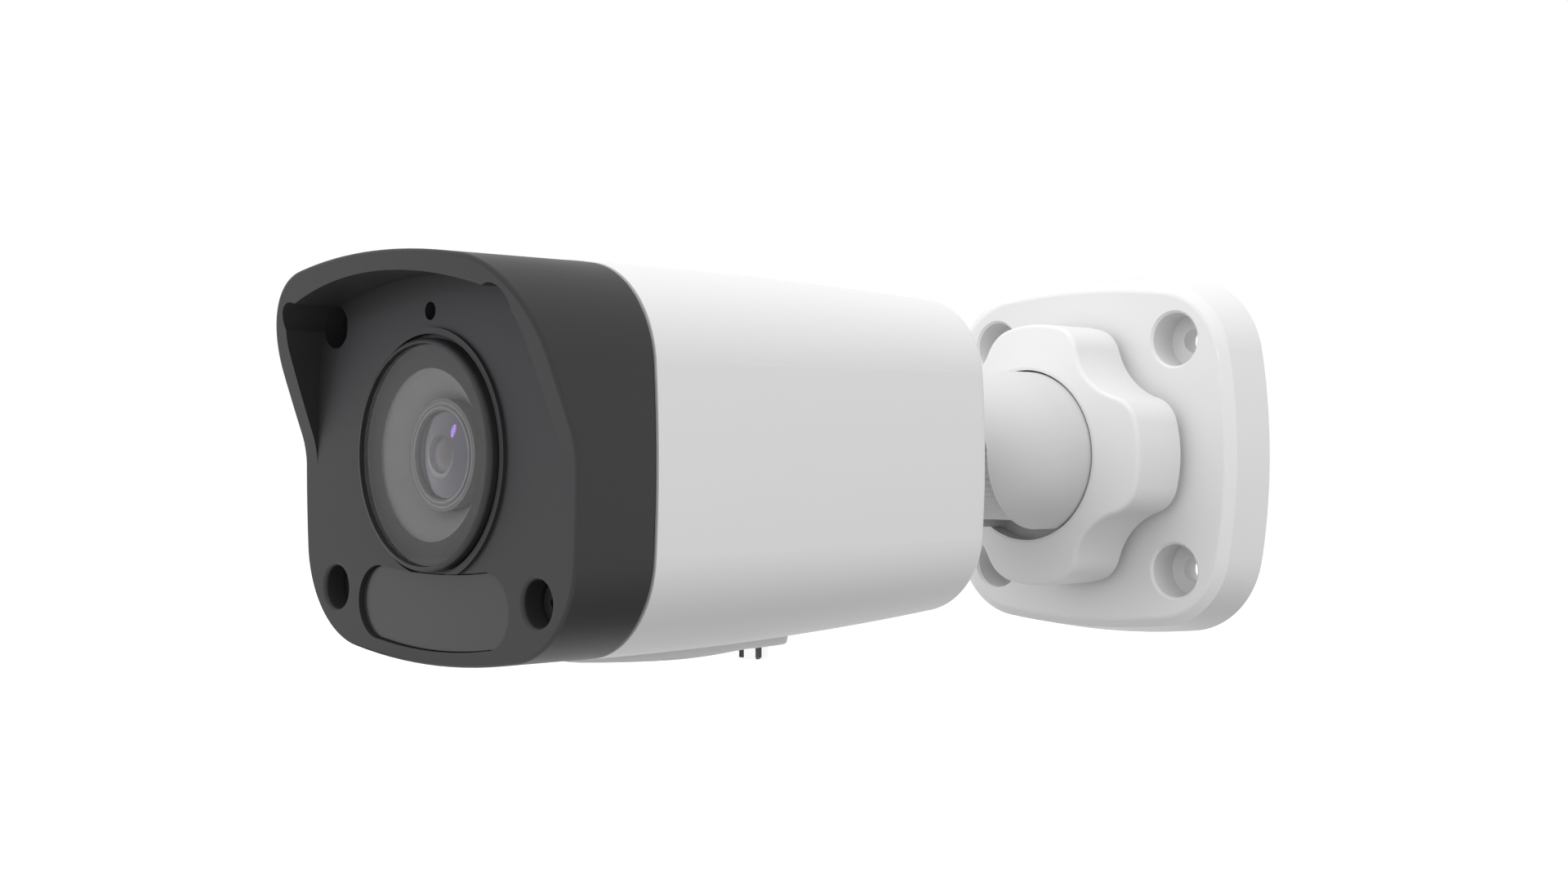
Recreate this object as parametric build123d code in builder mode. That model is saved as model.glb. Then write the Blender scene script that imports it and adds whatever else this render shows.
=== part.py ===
from build123d import *
import math
import os

# Wall camera: a bullet camera on a three-axis wall bracket, millimetres.
# Origin: centre of the wall plate's back face. +Y into the wall, +Z up, the camera looks along -Y.
# Every "at" value is a distance from the wall along the camera's axis, so it lies at Y = -value.

# Fits and clearances
running_gap = 0.05
seat_gap = 0.02
free_gap = 0.3
cover_gap = 0.15

# Wall plate
plate_half_w = 34.8
plate_half_h = 33.6
plate_bow_w = 4.3
plate_bow_h = 2.8
plate_corner_r = 16.3
plate_front_at = 9.8
plate_draft = 1.3
plate_bevel = 1.5
plate_edge_r = 1.0
plate_rim = 3.0
plate_pocket_depth = 4.5
screw_spacing = 42.0
screw_hole_r = 2.2
screw_head_r = 4.85
screw_head_depth = 6.2
screw_rim_chamfer = 0.45
screw_boss_r = 7.2
cable_bore_r = 9.0
boss_r = 17.2
boss_length = 9.9
boss_wall = 4.0

# Locking ring
ring_rear_gap = 2.2
ring_lobe_r = 24.0
ring_valley_r = 19.3
ring_valley_cut_r = 13.0
ring_blend_r = 6.0
ring_lobes = 4
ring_front_at = 26.7
ring_face_drop = 2.4
ring_lip = 3.0
ring_edge_r = 0.9
ring_mouth_chamfer = 0.5

# Turret
washer_thickness = 1.2
flange_thickness = 2.5
dome_r = 15.22
mouth_gap = 0.33
tilt_axis_at = 32.6
slot_half_w = 7.5
hub_r = 11.7
hub_room = 0.5
hub_teeth = 60
hub_tooth_depth = 0.35
pin_r = 2.5
pin_inner_x = 4.1
pin_outer_x = 11.8

# Arm and roll joint
arm_side_gap = 0.3
arm_slot_gap = 0.7
arm_ring_gap = 0.3
arm_blend_r = 3.0
arm_disc_r = 12.5
arm_disc_thickness = 3.6
arm_cable_r = 3.2
spigot_r = 8.0
nut_r = 11.5
nut_thickness = 4.0
nut_gap = 0.1
spigot_tail = 1.0
seal_mid_r = 10.2
seal_width = 1.8
seal_depth = 1.8
seal_gap = 0.1
grommet_length = 7.0
grommet_flange_r = 5.0
grommet_flange = 1.5
grommet_hole_r = 2.3

# Housing
body_rear_at = 73.2
seam_at = 142.4
body_half_w = 33.3
body_half_h = 28.8
body_drop = 0.75
body_bow_w = 1.6
body_bow_h = 3.9
body_corner_r = 15.4
body_taper_w = 1.75
body_taper_h = 2.35
body_wall = 2.2
body_rear_wall = 4.0
body_rear_r = 1.8
post_inset_x = 8.7
post_inset_z = 9.5
post_drop = 0.3
post_r = 3.2
post_length = 25.0
thread_depth = 14.0

# Bezel and visor
seal_strip = 0.6
seal_strip_inset = 0.6
bezel_inset = 0.05
bezel_wall = 2.6
bezel_post_r = 4.0
face_at = 156.1
face_thickness = 3.0
visor_start_z = 0.85
visor_reach = 10.0
visor_wall = 3.5
visor_top_wall = 2.8
visor_bow_h = 4.8
visor_corner_r = 8.0
visor_edge_r = 0.5
visor_bend_r = 15.0
face_screw_r = 3.2
face_screw_rim = 0.1
face_screw_round = 0.6
face_screw_seat_at = 150.2
bezel_screw_r = 0.9
bezel_screw_head = 2.5
bezel_socket_r = 1.5
bezel_socket_depth = 1.5
collar_rim_r = 16.4
collar_tube_r = 17.4
collar_groove_r = 17.0
collar_groove_depth = 0.5
collar_ledge_r = 17.9
collar_rise = 1.66
collar_edge_r = 0.7
collar_ledge_rise = 0.5
collar_back_at = 151.5
mic_collar_gap = 2.8
mic_hole_r = 1.3
mic_r = 1.85
mic_length = 2.2
mic_seal_wall = 0.4
mic_seal_length = 3.2

# Round window
glass_r = 15.5
glass_seat_gap = 0.1
glass_thickness = 1.5
glass_recess = 0.7
mask_inner_r = 12.2
mask_thickness = 0.15
gasket_thickness = 0.5
ledge_hole_r = 12.8

# Infrared panel
ir_side_inset = 6.2
ir_top_lap = 1.5
ir_bottom_inset = 2.2
ir_bow_top = 0.7
ir_bow_bottom = 0.9
ir_recess = 0.7
ir_side_gap = 0.15
ir_flange = 1.1
ir_flange_thickness = 1.0
ir_led_x = 8.0
ir_led_r = 2.5
ir_led_body = 1.4
ir_post_inset = 2.3
ir_post_z = -12.5
ir_post_r = 2.0
ir_post_length = 4.5
ir_board_post_gap = 0.8
ir_board_top_z = -9.8
ir_board_drop = 3.15
ir_board_corner = 6.0
ir_board_lens_r = 13.5

# Lens, sensor and boards
board_thickness = 1.6
board_screw_r = 0.9
board_screw_head_r = 1.8
board_screw_head = 1.3
board_screw_length = 4.5
sensor_board_front_at = 134.2
sensor_board_half_w = 19.0
sensor_board_margin = 3.0
sensor_half_w = 4.0
sensor_half_h = 3.0
sensor_thickness = 1.2
holder_half = 8.5
holder_base = 3.4
holder_wall = 1.6
holder_top_at = 141.4
lens_thread_r = 6.0
lens_tail_at = 137.2
lens_head_r = 7.6
lens_head_at = 145.6
lens_front_at = 153.6
lens_ring_r = 6.95
lens_ring_width = 0.6
lens_ring_depth = 0.7
lens_glass_r = 6.2
lens_cone_depth = 0.4
lens_glass_depth = 3.0
lens_glass_bulge = 1.0
shroud_wall = 1.0
shroud_mouth_r = 12.5
shroud_mouth_gap = 0.2
shroud_throat_at = 151.2

# Inner frame
chassis_front_at = 130.2
chassis_thickness = 2.0
chassis_lug_w = 2.4
chassis_post_room = 1.8
chassis_post_x = 16.0
chassis_post_inset = 1.0
chassis_post_r = 2.3
chassis_screw_inset = 8.55
lug_half_h = 4.0
lug_length = 12.0
lug_reach = 6.5
shelf_top_z = -8.0
shelf_thickness = 1.5
shelf_half_w = 20.0
shelf_rear_at = 92.0
main_board_drop = 3.0
main_board_half_w = 20.0
main_board_rear_at = 93.0
main_board_front_at = 127.0
main_post_x = 16.5
main_post_inset = 4.0
chip_half = 7.0
chip_thickness = 1.5
chip_at = 108.0
card_half_w = 7.5
card_length = 15.0
card_thickness = 1.8
card_at = 117.0

# Service cover
hatch_half_w = 9.6
hatch_rear_at = 108.0
hatch_front_at = 134.0
hatch_plug_inset = 2.4
hatch_plug_rise = 3.5
hatch_gasket_gap = 0.2
hatch_gasket_height = 0.8
cover_half_w = 12.6
cover_tail_r = 6.0
cover_front_gap = 1.9
cover_front_rise = 0.25
cover_low_drop = 0.7
cover_low_at = 119.0
cover_tail_rise = 0.5
cover_tail_round = 1.8
cover_corner_r = 2.0
cover_seat_depth = 0.8
cover_edge_r = 0.6
cover_bend_r = 40.0
cover_screw_at = 94.5
cover_screw_head_r = 2.5
cover_screw_seat_rise = 0.6
cover_screw_head = 3.65
cover_screw_chamfer = 0.3
cover_screw_r = 1.5
cover_screw_reach = 9.3
cover_boss_r = 3.6
cover_boss_cap = 2.0


def taper_share(distance):
    """Share of the body's soft taper at a distance from the wall, 0 at the seam and 1 at the rear."""
    return ((seam_at - distance) / (seam_at - body_rear_at)) ** 2


def underside_z(distance):
    """Height of the body's underside at a distance from the wall, in the middle of its width."""
    return (body_taper_h + body_drop) * taper_share(distance) - body_half_h - body_drop


# Worked-out places
boss_front_at = plate_front_at + boss_length
ring_rear_at = plate_front_at + ring_rear_gap
ring_bore_r = boss_r + running_gap
ring_mouth_r = dome_r + mouth_gap
lip_back_at = ring_front_at - ring_lip
washer_front_at = boss_front_at + washer_thickness
flange_front_at = washer_front_at + flange_thickness
flange_r = ring_bore_r - free_gap
hub_cavity_r = hub_r + hub_room
arm_half_w = slot_half_w - arm_side_gap
arm_r = min(slot_half_w - arm_slot_gap, tilt_axis_at - ring_front_at - arm_ring_gap)
disc_front_at = body_rear_at - free_gap
disc_rear_at = disc_front_at - arm_disc_thickness
rear_inner_at = body_rear_at + body_rear_wall
nut_rear_at = rear_inner_at + nut_gap
nut_front_at = nut_rear_at + nut_thickness
spigot_end_at = nut_front_at + spigot_tail
bezel_rear_at = seam_at + seal_strip
bezel_top_z = body_half_h - body_drop - bezel_inset
face_back_at = face_at - face_thickness
visor_tip_at = face_at + visor_reach
visor_slope = visor_reach / (bezel_top_z - visor_start_z)
collar_front_at = face_at + collar_rise
glass_front_at = collar_front_at - glass_recess
glass_back_at = glass_front_at - glass_thickness
mask_back_at = glass_back_at - mask_thickness
ledge_at = mask_back_at - gasket_thickness
glass_seat_r = glass_r + glass_seat_gap
ir_front_at = face_at - ir_recess
ir_back_at = face_back_at - ir_flange_thickness
ir_board_front_at = face_back_at - ir_post_length
sensor_board_rear_at = sensor_board_front_at - board_thickness
chassis_rear_at = chassis_front_at - chassis_thickness
shelf_bottom_z = shelf_top_z - shelf_thickness
main_board_top_z = shelf_bottom_z - main_board_drop
main_board_bottom_z = main_board_top_z - board_thickness
main_board_mid_at = (main_board_rear_at + main_board_front_at) / 2
main_post_span = main_board_front_at - main_board_rear_at - 2 * main_post_inset
element_r = lens_glass_r - seat_gap
element_back_at = lens_front_at - lens_glass_depth
element_edge_at = lens_front_at - lens_cone_depth
element_ball_r = (element_r**2 + lens_glass_bulge**2) / (2 * lens_glass_bulge)
element_mid_y = element_ball_r - element_edge_at - lens_glass_bulge
element_arc = math.degrees(math.asin(element_r / element_ball_r))
post_x = body_half_w - post_inset_x
post_z = body_half_h - post_inset_z
mic_z = collar_tube_r + mic_collar_gap
ir_top_z = ir_top_lap - collar_tube_r
ir_bottom_z = ir_bottom_inset - body_half_h
ir_mid_z = (ir_top_z + ir_bottom_z) / 2
ir_end_r = (ir_top_z - ir_bottom_z) / 2
ir_half_w = post_x - ir_side_inset
ir_board_half_w = post_x - bezel_post_r - ir_board_post_gap
ir_post_x = ir_board_half_w - ir_post_inset
ir_board_bottom_z = ir_mid_z - ir_board_drop
chassis_half_h = post_z - post_drop - post_r - chassis_post_room
chassis_post_z = chassis_half_h - chassis_post_inset
sensor_board_half_h = chassis_post_z + sensor_board_margin
chassis_screw_x = body_half_w - chassis_screw_inset
chassis_half_w = chassis_screw_x + chassis_lug_w
body_mid_at = (seam_at + body_rear_at) / 2
body_bottom_z = underside_z(seam_at)
hatch_mid_at = (hatch_rear_at + hatch_front_at) / 2
hatch_length = hatch_front_at - hatch_rear_at
cover_front_at = seam_at - cover_front_gap
cover_tail_at = cover_screw_at - cover_tail_r
cover_front_z = body_bottom_z + cover_front_rise
cover_low_z = body_bottom_z - cover_low_drop
cover_tail_z = body_bottom_z + cover_tail_rise
cover_screw_foot_z = body_bottom_z + cover_screw_seat_rise
cover_screw_tip_z = cover_screw_foot_z - cover_screw_head
cover_screw_top_z = cover_screw_foot_z + cover_screw_reach
cover_boss_top_z = cover_screw_top_z + cover_boss_cap
cover_boss_foot_z = underside_z(cover_screw_at) + body_wall / 2 + cover_seat_depth
reach = 200.0

post_grid = GridLocations(2 * post_x, 2 * post_z, 2, 2)
front_posts = Locations(*[Pos(0, -post_drop) * place for place in post_grid.locations])
wall_holes = GridLocations(screw_spacing, screw_spacing, 2, 2)
sensor_posts = GridLocations(2 * chassis_post_x, 2 * chassis_post_z, 2, 2)


def across(distance):
    """Plane square to the camera's axis at a distance from the wall, drawn in X and Z."""
    return Plane.XZ.offset(distance)


def bowed_outline(half_w, half_h, bow_w, bow_h, mid_z=0):
    """Four-sided outline whose sides bow outwards, as lines and a face in the open sketch."""
    corner_x = half_w - bow_w
    top_z = mid_z + half_h - bow_h
    bottom_z = mid_z - half_h + bow_h
    with BuildLine() as outline:
        ThreePointArc((-corner_x, top_z), (0, mid_z + half_h), (corner_x, top_z))
        ThreePointArc((corner_x, top_z), (half_w, mid_z), (corner_x, bottom_z))
        ThreePointArc((corner_x, bottom_z), (0, mid_z - half_h), (-corner_x, bottom_z))
        ThreePointArc((-corner_x, bottom_z), (-half_w, mid_z), (-corner_x, top_z))
    make_face(outline.edges())


def plate_outline(sketch, inset):
    """The wall plate's outline drawn in by an inset, with its round corners, in the open sketch."""
    bowed_outline(plate_half_w - inset, plate_half_h - inset, plate_bow_w, plate_bow_h)
    fillet(sketch.vertices(), plate_corner_r - inset)


def body_outline(distance, inset):
    """The camera's section at a distance from the wall, drawn in by an inset, in the open sketch."""
    share = taper_share(distance)
    bowed_outline(
        body_half_w - body_taper_w * share - inset,
        body_half_h - body_taper_h * share - inset,
        body_bow_w,
        body_bow_h,
        body_drop * (share - 1),
    )


def body_corner(distance, inset):
    """Corner radius of the camera's section at a distance from the wall, drawn in by an inset."""
    return body_corner_r - body_taper_h * taper_share(distance) - inset


def cover_outline(sketch, grow):
    """Tongue outline of the service cover, grown by an amount, in the open sketch."""
    with Locations((0, -cover_screw_at)):
        Circle(cover_tail_r + grow)
    with Locations((0, -(cover_low_at + cover_front_at) / 2)):
        Rectangle(2 * (cover_half_w + grow), cover_front_at - cover_low_at + 2 * grow)
    make_hull()
    for side in (1, -1):
        bend = sketch.vertices().sort_by_distance((side * cover_half_w, -cover_low_at))[0]
        fillet(bend, cover_bend_r)
        corner = sketch.vertices().sort_by_distance((side * cover_half_w, -cover_front_at))[0]
        fillet(corner, cover_corner_r + grow)


def turned_outline(*points):
    """Closed profile of (radius, distance from the wall) points for a turning about Y."""
    with BuildLine() as outline:
        Polyline(*[(radius, -distance) for radius, distance in points], close=True)
    make_face(outline.edges())


def ir_outline(grow):
    """Pill outline of the infrared panel, grown by an amount, in the open sketch."""
    end_r = ir_end_r + grow
    end_x = ir_half_w - ir_end_r
    top_z = ir_mid_z + end_r
    bottom_z = ir_mid_z - end_r
    with BuildLine() as outline:
        ThreePointArc((-end_x, top_z), (0, top_z - ir_bow_top), (end_x, top_z))
        ThreePointArc((end_x, top_z), (end_x + end_r, ir_mid_z), (end_x, bottom_z))
        ThreePointArc((end_x, bottom_z), (0, bottom_z - ir_bow_bottom), (-end_x, bottom_z))
        ThreePointArc((-end_x, bottom_z), (-end_x - end_r, ir_mid_z), (-end_x, top_z))
    make_face(outline.edges())


def side_outline(*points):
    """Closed profile of (distance from the wall, height) points in the plane of Y and Z."""
    with BuildLine() as outline:
        Polyline(*[(-distance, height) for distance, height in points], close=True)
    make_face(outline.edges())


os.makedirs("parts", exist_ok=True)


# Wall plate: cast square plate, hollow behind, with a boss that the ring screws onto
with BuildPart() as wall_plate:
    with BuildSketch(across(0)) as plate_back:
        plate_outline(plate_back, 0)
    with BuildSketch(across(plate_front_at - plate_bevel)) as plate_shoulder:
        plate_outline(plate_shoulder, plate_draft)
    loft(ruled=True)
    with BuildSketch(across(plate_front_at - plate_bevel)) as bevel_foot:
        plate_outline(bevel_foot, plate_draft)
    with BuildSketch(across(plate_front_at)) as plate_face:
        plate_outline(plate_face, plate_draft + plate_bevel)
    loft(ruled=True)
    fillet(wall_plate.faces().sort_by(Axis.Y)[0].edges(), plate_edge_r)
    with BuildSketch(across(0)) as plate_pocket:
        plate_outline(plate_pocket, plate_rim)
        Circle(cable_bore_r + boss_wall, mode=Mode.SUBTRACT)
        with wall_holes:
            Circle(screw_boss_r, mode=Mode.SUBTRACT)
    extrude(amount=plate_pocket_depth, mode=Mode.SUBTRACT)
    with BuildSketch(across(plate_front_at)):
        Circle(boss_r)
    extrude(amount=boss_length)
    with BuildSketch(across(0)):
        Circle(cable_bore_r)
        with wall_holes:
            Circle(screw_hole_r)
    extrude(amount=boss_front_at, mode=Mode.SUBTRACT)
    with BuildSketch(across(plate_front_at)):
        with wall_holes:
            Circle(screw_head_r)
    extrude(amount=-screw_head_depth, mode=Mode.SUBTRACT)
    head_rims = wall_plate.edges().filter_by(GeomType.CIRCLE)
    head_rims = head_rims.filter_by(lambda e: abs(e.radius - screw_head_r) < seat_gap)
    chamfer(head_rims.group_by(Axis.Y)[0], screw_rim_chamfer)
wall_plate.part.label = "wall_plate"
export_step(wall_plate.part, "parts/wall_plate.step")


# Locking ring: lobed nut with a shallow conical face and a lip over the turret's flange
with BuildPart() as locking_ring:
    with BuildSketch(across(ring_rear_at)) as lobes:
        Circle(ring_lobe_r)
        with PolarLocations(ring_valley_r + ring_valley_cut_r, ring_lobes, start_angle=180 / ring_lobes):
            Circle(ring_valley_cut_r, mode=Mode.SUBTRACT)
        fillet(lobes.vertices(), ring_blend_r)
    extrude(amount=ring_front_at - ring_rear_at)
    with BuildSketch(Plane.XY):
        turned_outline(
            (0, ring_rear_at),
            (ring_lobe_r, ring_rear_at),
            (ring_lobe_r, ring_front_at - ring_face_drop),
            (ring_mouth_r + ring_mouth_chamfer, ring_front_at),
            (0, ring_front_at),
        )
    revolve(axis=Axis.Y, mode=Mode.INTERSECT)
    cone_edges = locking_ring.faces().filter_by(GeomType.CONE).edges()
    rim_edges = cone_edges.filter_by(GeomType.LINE, reverse=True).sort_by(SortBy.LENGTH)[:-1]
    fillet(rim_edges, ring_edge_r)
    with BuildSketch(across(ring_rear_at)):
        Circle(ring_bore_r)
    extrude(amount=lip_back_at - ring_rear_at, mode=Mode.SUBTRACT)
    with BuildSketch(across(ring_rear_at)):
        Circle(ring_mouth_r)
    extrude(amount=ring_front_at - ring_rear_at, mode=Mode.SUBTRACT)
locking_ring.part.label = "locking_ring"
export_step(locking_ring.part, "parts/locking_ring.step")


# Friction washer between the turret's flange and the plate's boss
with BuildPart() as friction_washer:
    with BuildSketch(across(boss_front_at)):
        Circle(flange_r)
        Circle(cable_bore_r, mode=Mode.SUBTRACT)
    extrude(amount=washer_thickness)
friction_washer.part.label = "friction_washer"
export_step(friction_washer.part, "parts/friction_washer.step")


# Turret dome: round-nosed turret, slotted from its front round to its underside
with BuildPart() as turret_dome:
    with BuildSketch(Plane.XY):
        with BuildLine():
            Polyline(
                (0, -tilt_axis_at - dome_r),
                (0, -washer_front_at),
                (flange_r, -washer_front_at),
                (flange_r, -flange_front_at),
                (dome_r, -flange_front_at),
                (dome_r, -tilt_axis_at),
            )
            CenterArc((0, -tilt_axis_at), dome_r, 0, -90)
        make_face()
    revolve(axis=Axis.Y)
    with BuildSketch(Plane.YZ):
        side_outline(
            (flange_front_at, 0),
            (tilt_axis_at + dome_r, 0),
            (tilt_axis_at + dome_r, -flange_r),
            (flange_front_at, -flange_r),
        )
        with Locations((-tilt_axis_at, 0)):
            Circle(hub_cavity_r)
    extrude(amount=slot_half_w, both=True, mode=Mode.SUBTRACT)
    with BuildSketch(across(tilt_axis_at)):
        Circle(slot_half_w)
    extrude(amount=dome_r, mode=Mode.SUBTRACT)
    with BuildSketch(across(washer_front_at)):
        Circle(cable_bore_r)
    extrude(amount=tilt_axis_at - washer_front_at, mode=Mode.SUBTRACT)
    with BuildSketch(Plane.YZ):
        with Locations((-tilt_axis_at, 0)):
            Circle(pin_r + seat_gap)
    extrude(amount=pin_outer_x + seat_gap, both=True, mode=Mode.SUBTRACT)
turret_dome.part.label = "turret_dome"
export_step(turret_dome.part, "parts/turret_dome.step")


# Tilt pins: two stub pins from the turret's cheeks into the hub
with BuildPart() as tilt_pins:
    for side in (1, -1):
        with BuildSketch(Plane.YZ.offset(side * pin_inner_x)):
            with Locations((-tilt_axis_at, 0)):
                Circle(pin_r)
        extrude(amount=side * (pin_outer_x - pin_inner_x))
tilt_pins.part.label = "tilt_pins"
export_step(tilt_pins.part, "parts/tilt_pins.step")


# Tilt arm: serrated hub, arm, seal disc and the spigot that the camera rolls on
with BuildPart() as tilt_arm:
    with BuildSketch(Plane.YZ):
        with BuildLine():
            teeth = []
            for step in range(2 * hub_teeth):
                tooth_r = hub_r - hub_tooth_depth * (step % 2)
                tooth_angle = math.pi * step / hub_teeth
                tooth_y = tooth_r * math.cos(tooth_angle) - tilt_axis_at
                teeth.append((tooth_y, tooth_r * math.sin(tooth_angle)))
            Polyline(*teeth, close=True)
        make_face()
    extrude(amount=arm_half_w, both=True)
    with BuildSketch(across(tilt_axis_at)):
        Circle(arm_r)
    extrude(amount=disc_rear_at - tilt_axis_at)
    with BuildSketch(across(disc_rear_at)):
        Circle(arm_disc_r)
    extrude(amount=arm_disc_thickness)
    disc_edges = tilt_arm.edges().filter_by_position(
        Axis.Y, -disc_rear_at - seat_gap, -disc_rear_at + seat_gap
    )
    fillet(disc_edges.sort_by(SortBy.LENGTH)[:-1], arm_blend_r)
    with BuildSketch(across(disc_front_at)):
        Circle(spigot_r)
    extrude(amount=spigot_end_at - disc_front_at)
    with BuildSketch(across(disc_front_at)):
        Circle(seal_mid_r + seal_width / 2 + seat_gap)
        Circle(seal_mid_r - seal_width / 2 - seat_gap, mode=Mode.SUBTRACT)
    extrude(amount=-seal_depth, mode=Mode.SUBTRACT)
    with BuildSketch(across(tilt_axis_at - hub_r)):
        Circle(arm_cable_r)
    extrude(amount=spigot_end_at - tilt_axis_at + hub_r, mode=Mode.SUBTRACT)
    for side in (1, -1):
        with BuildSketch(Plane.YZ.offset(side * (pin_inner_x - free_gap))):
            with Locations((-tilt_axis_at, 0)):
                Circle(pin_r + running_gap)
        extrude(amount=side * slot_half_w, mode=Mode.SUBTRACT)
tilt_arm.part.label = "tilt_arm"
export_step(tilt_arm.part, "parts/tilt_arm.step")


# Roll seal: square ring between the arm's disc and the housing's rear
with BuildPart() as roll_seal:
    with BuildSketch(across(disc_front_at - seal_depth)):
        Circle(seal_mid_r + seal_width / 2)
        Circle(seal_mid_r - seal_width / 2, mode=Mode.SUBTRACT)
    extrude(amount=seal_depth + free_gap - seal_gap)
roll_seal.part.label = "roll_seal"
export_step(roll_seal.part, "parts/roll_seal.step")


# Roll nut: hexagon nut that keeps the camera on the arm's spigot
with BuildPart() as roll_nut:
    with BuildSketch(across(nut_rear_at)):
        RegularPolygon(nut_r, 6)
        Circle(spigot_r + seat_gap, mode=Mode.SUBTRACT)
    extrude(amount=nut_thickness)
roll_nut.part.label = "roll_nut"
export_step(roll_nut.part, "parts/roll_nut.step")


# Cable grommet: flanged rubber sleeve in the end of the spigot
with BuildPart() as cable_grommet:
    with BuildSketch(Plane.XY):
        turned_outline(
            (grommet_hole_r, spigot_end_at - grommet_length),
            (arm_cable_r - seat_gap, spigot_end_at - grommet_length),
            (arm_cable_r - seat_gap, spigot_end_at),
            (grommet_flange_r, spigot_end_at),
            (grommet_flange_r, spigot_end_at + grommet_flange),
            (grommet_hole_r, spigot_end_at + grommet_flange),
        )
    revolve(axis=Axis.Y)
cable_grommet.part.label = "cable_grommet"
export_step(cable_grommet.part, "parts/cable_grommet.step")


# Room under the body that the service cover lies in, cut out of the housing below
with BuildPart() as cover_room:
    with BuildSketch(Plane.XY) as cover_room_plan:
        cover_outline(cover_room_plan, cover_gap)
    extrude(amount=cover_low_z)
    with BuildSketch(across(seam_at)) as cover_room_front:
        body_outline(seam_at, cover_seat_depth)
        fillet(cover_room_front.vertices(), body_corner(seam_at, cover_seat_depth))
    with BuildSketch(across(body_rear_at)) as cover_room_rear:
        body_outline(body_rear_at, cover_seat_depth)
        fillet(cover_room_rear.vertices(), body_corner(body_rear_at, cover_seat_depth))
    loft(ruled=True, mode=Mode.SUBTRACT)


# Housing: softly tapered shell with corner posts, lugs for the inner frame and the service hatch
with BuildPart() as housing:
    with BuildSketch(across(seam_at)) as seam_section:
        body_outline(seam_at, 0)
        fillet(seam_section.vertices(), body_corner(seam_at, 0))
    with BuildSketch(across(body_mid_at)) as mid_section:
        body_outline(body_mid_at, 0)
        fillet(mid_section.vertices(), body_corner(body_mid_at, 0))
    with BuildSketch(across(body_rear_at)) as rear_section:
        body_outline(body_rear_at, 0)
        fillet(rear_section.vertices(), body_corner(body_rear_at, 0))
    loft()
    fillet(housing.faces().sort_by(Axis.Y)[-1].edges(), body_rear_r)
    with BuildSketch(across(seam_at)) as seam_room:
        body_outline(seam_at, body_wall)
        fillet(seam_room.vertices(), body_corner(seam_at, body_wall))
    with BuildSketch(across(rear_inner_at)) as rear_room:
        body_outline(rear_inner_at, body_wall)
        fillet(rear_room.vertices(), body_corner(rear_inner_at, body_wall))
    loft(ruled=True, mode=Mode.SUBTRACT)
    with BuildSketch(across(seam_at)):
        with front_posts:
            Circle(post_r)
    extrude(amount=-post_length)
    with BuildSketch(across(chassis_rear_at)):
        with Locations((chassis_screw_x, 0), (-chassis_screw_x, 0)):
            Rectangle(2 * lug_reach, 2 * lug_half_h)
    extrude(amount=-lug_length)
    with BuildSketch(Plane.XY.offset(cover_boss_top_z)):
        with Locations((0, -cover_screw_at)):
            Circle(cover_boss_r)
    extrude(amount=cover_boss_foot_z - cover_boss_top_z)
    add(cover_room.part, mode=Mode.SUBTRACT)
    with BuildSketch(across(seam_at)):
        with front_posts:
            Circle(bezel_screw_r + seat_gap)
    extrude(amount=-thread_depth, mode=Mode.SUBTRACT)
    with BuildSketch(across(chassis_rear_at)):
        with Locations((chassis_screw_x, 0), (-chassis_screw_x, 0)):
            Circle(board_screw_r + seat_gap)
    extrude(amount=-lug_length / 2, mode=Mode.SUBTRACT)
    with BuildSketch(across(body_rear_at)):
        Circle(spigot_r + running_gap)
    extrude(amount=body_rear_wall, mode=Mode.SUBTRACT)
    with BuildSketch(Plane.XY.offset(body_bottom_z)):
        with Locations((0, -hatch_mid_at)):
            Rectangle(2 * hatch_half_w, hatch_length)
    extrude(amount=-post_z - body_bottom_z, mode=Mode.SUBTRACT)
    with BuildSketch(Plane.XY.offset(cover_screw_top_z)):
        with Locations((0, -cover_screw_at)):
            Circle(cover_screw_r + seat_gap)
    extrude(amount=body_bottom_z - cover_screw_top_z, mode=Mode.SUBTRACT)
housing.part.label = "housing"
export_step(housing.part, "parts/housing.step")


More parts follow.
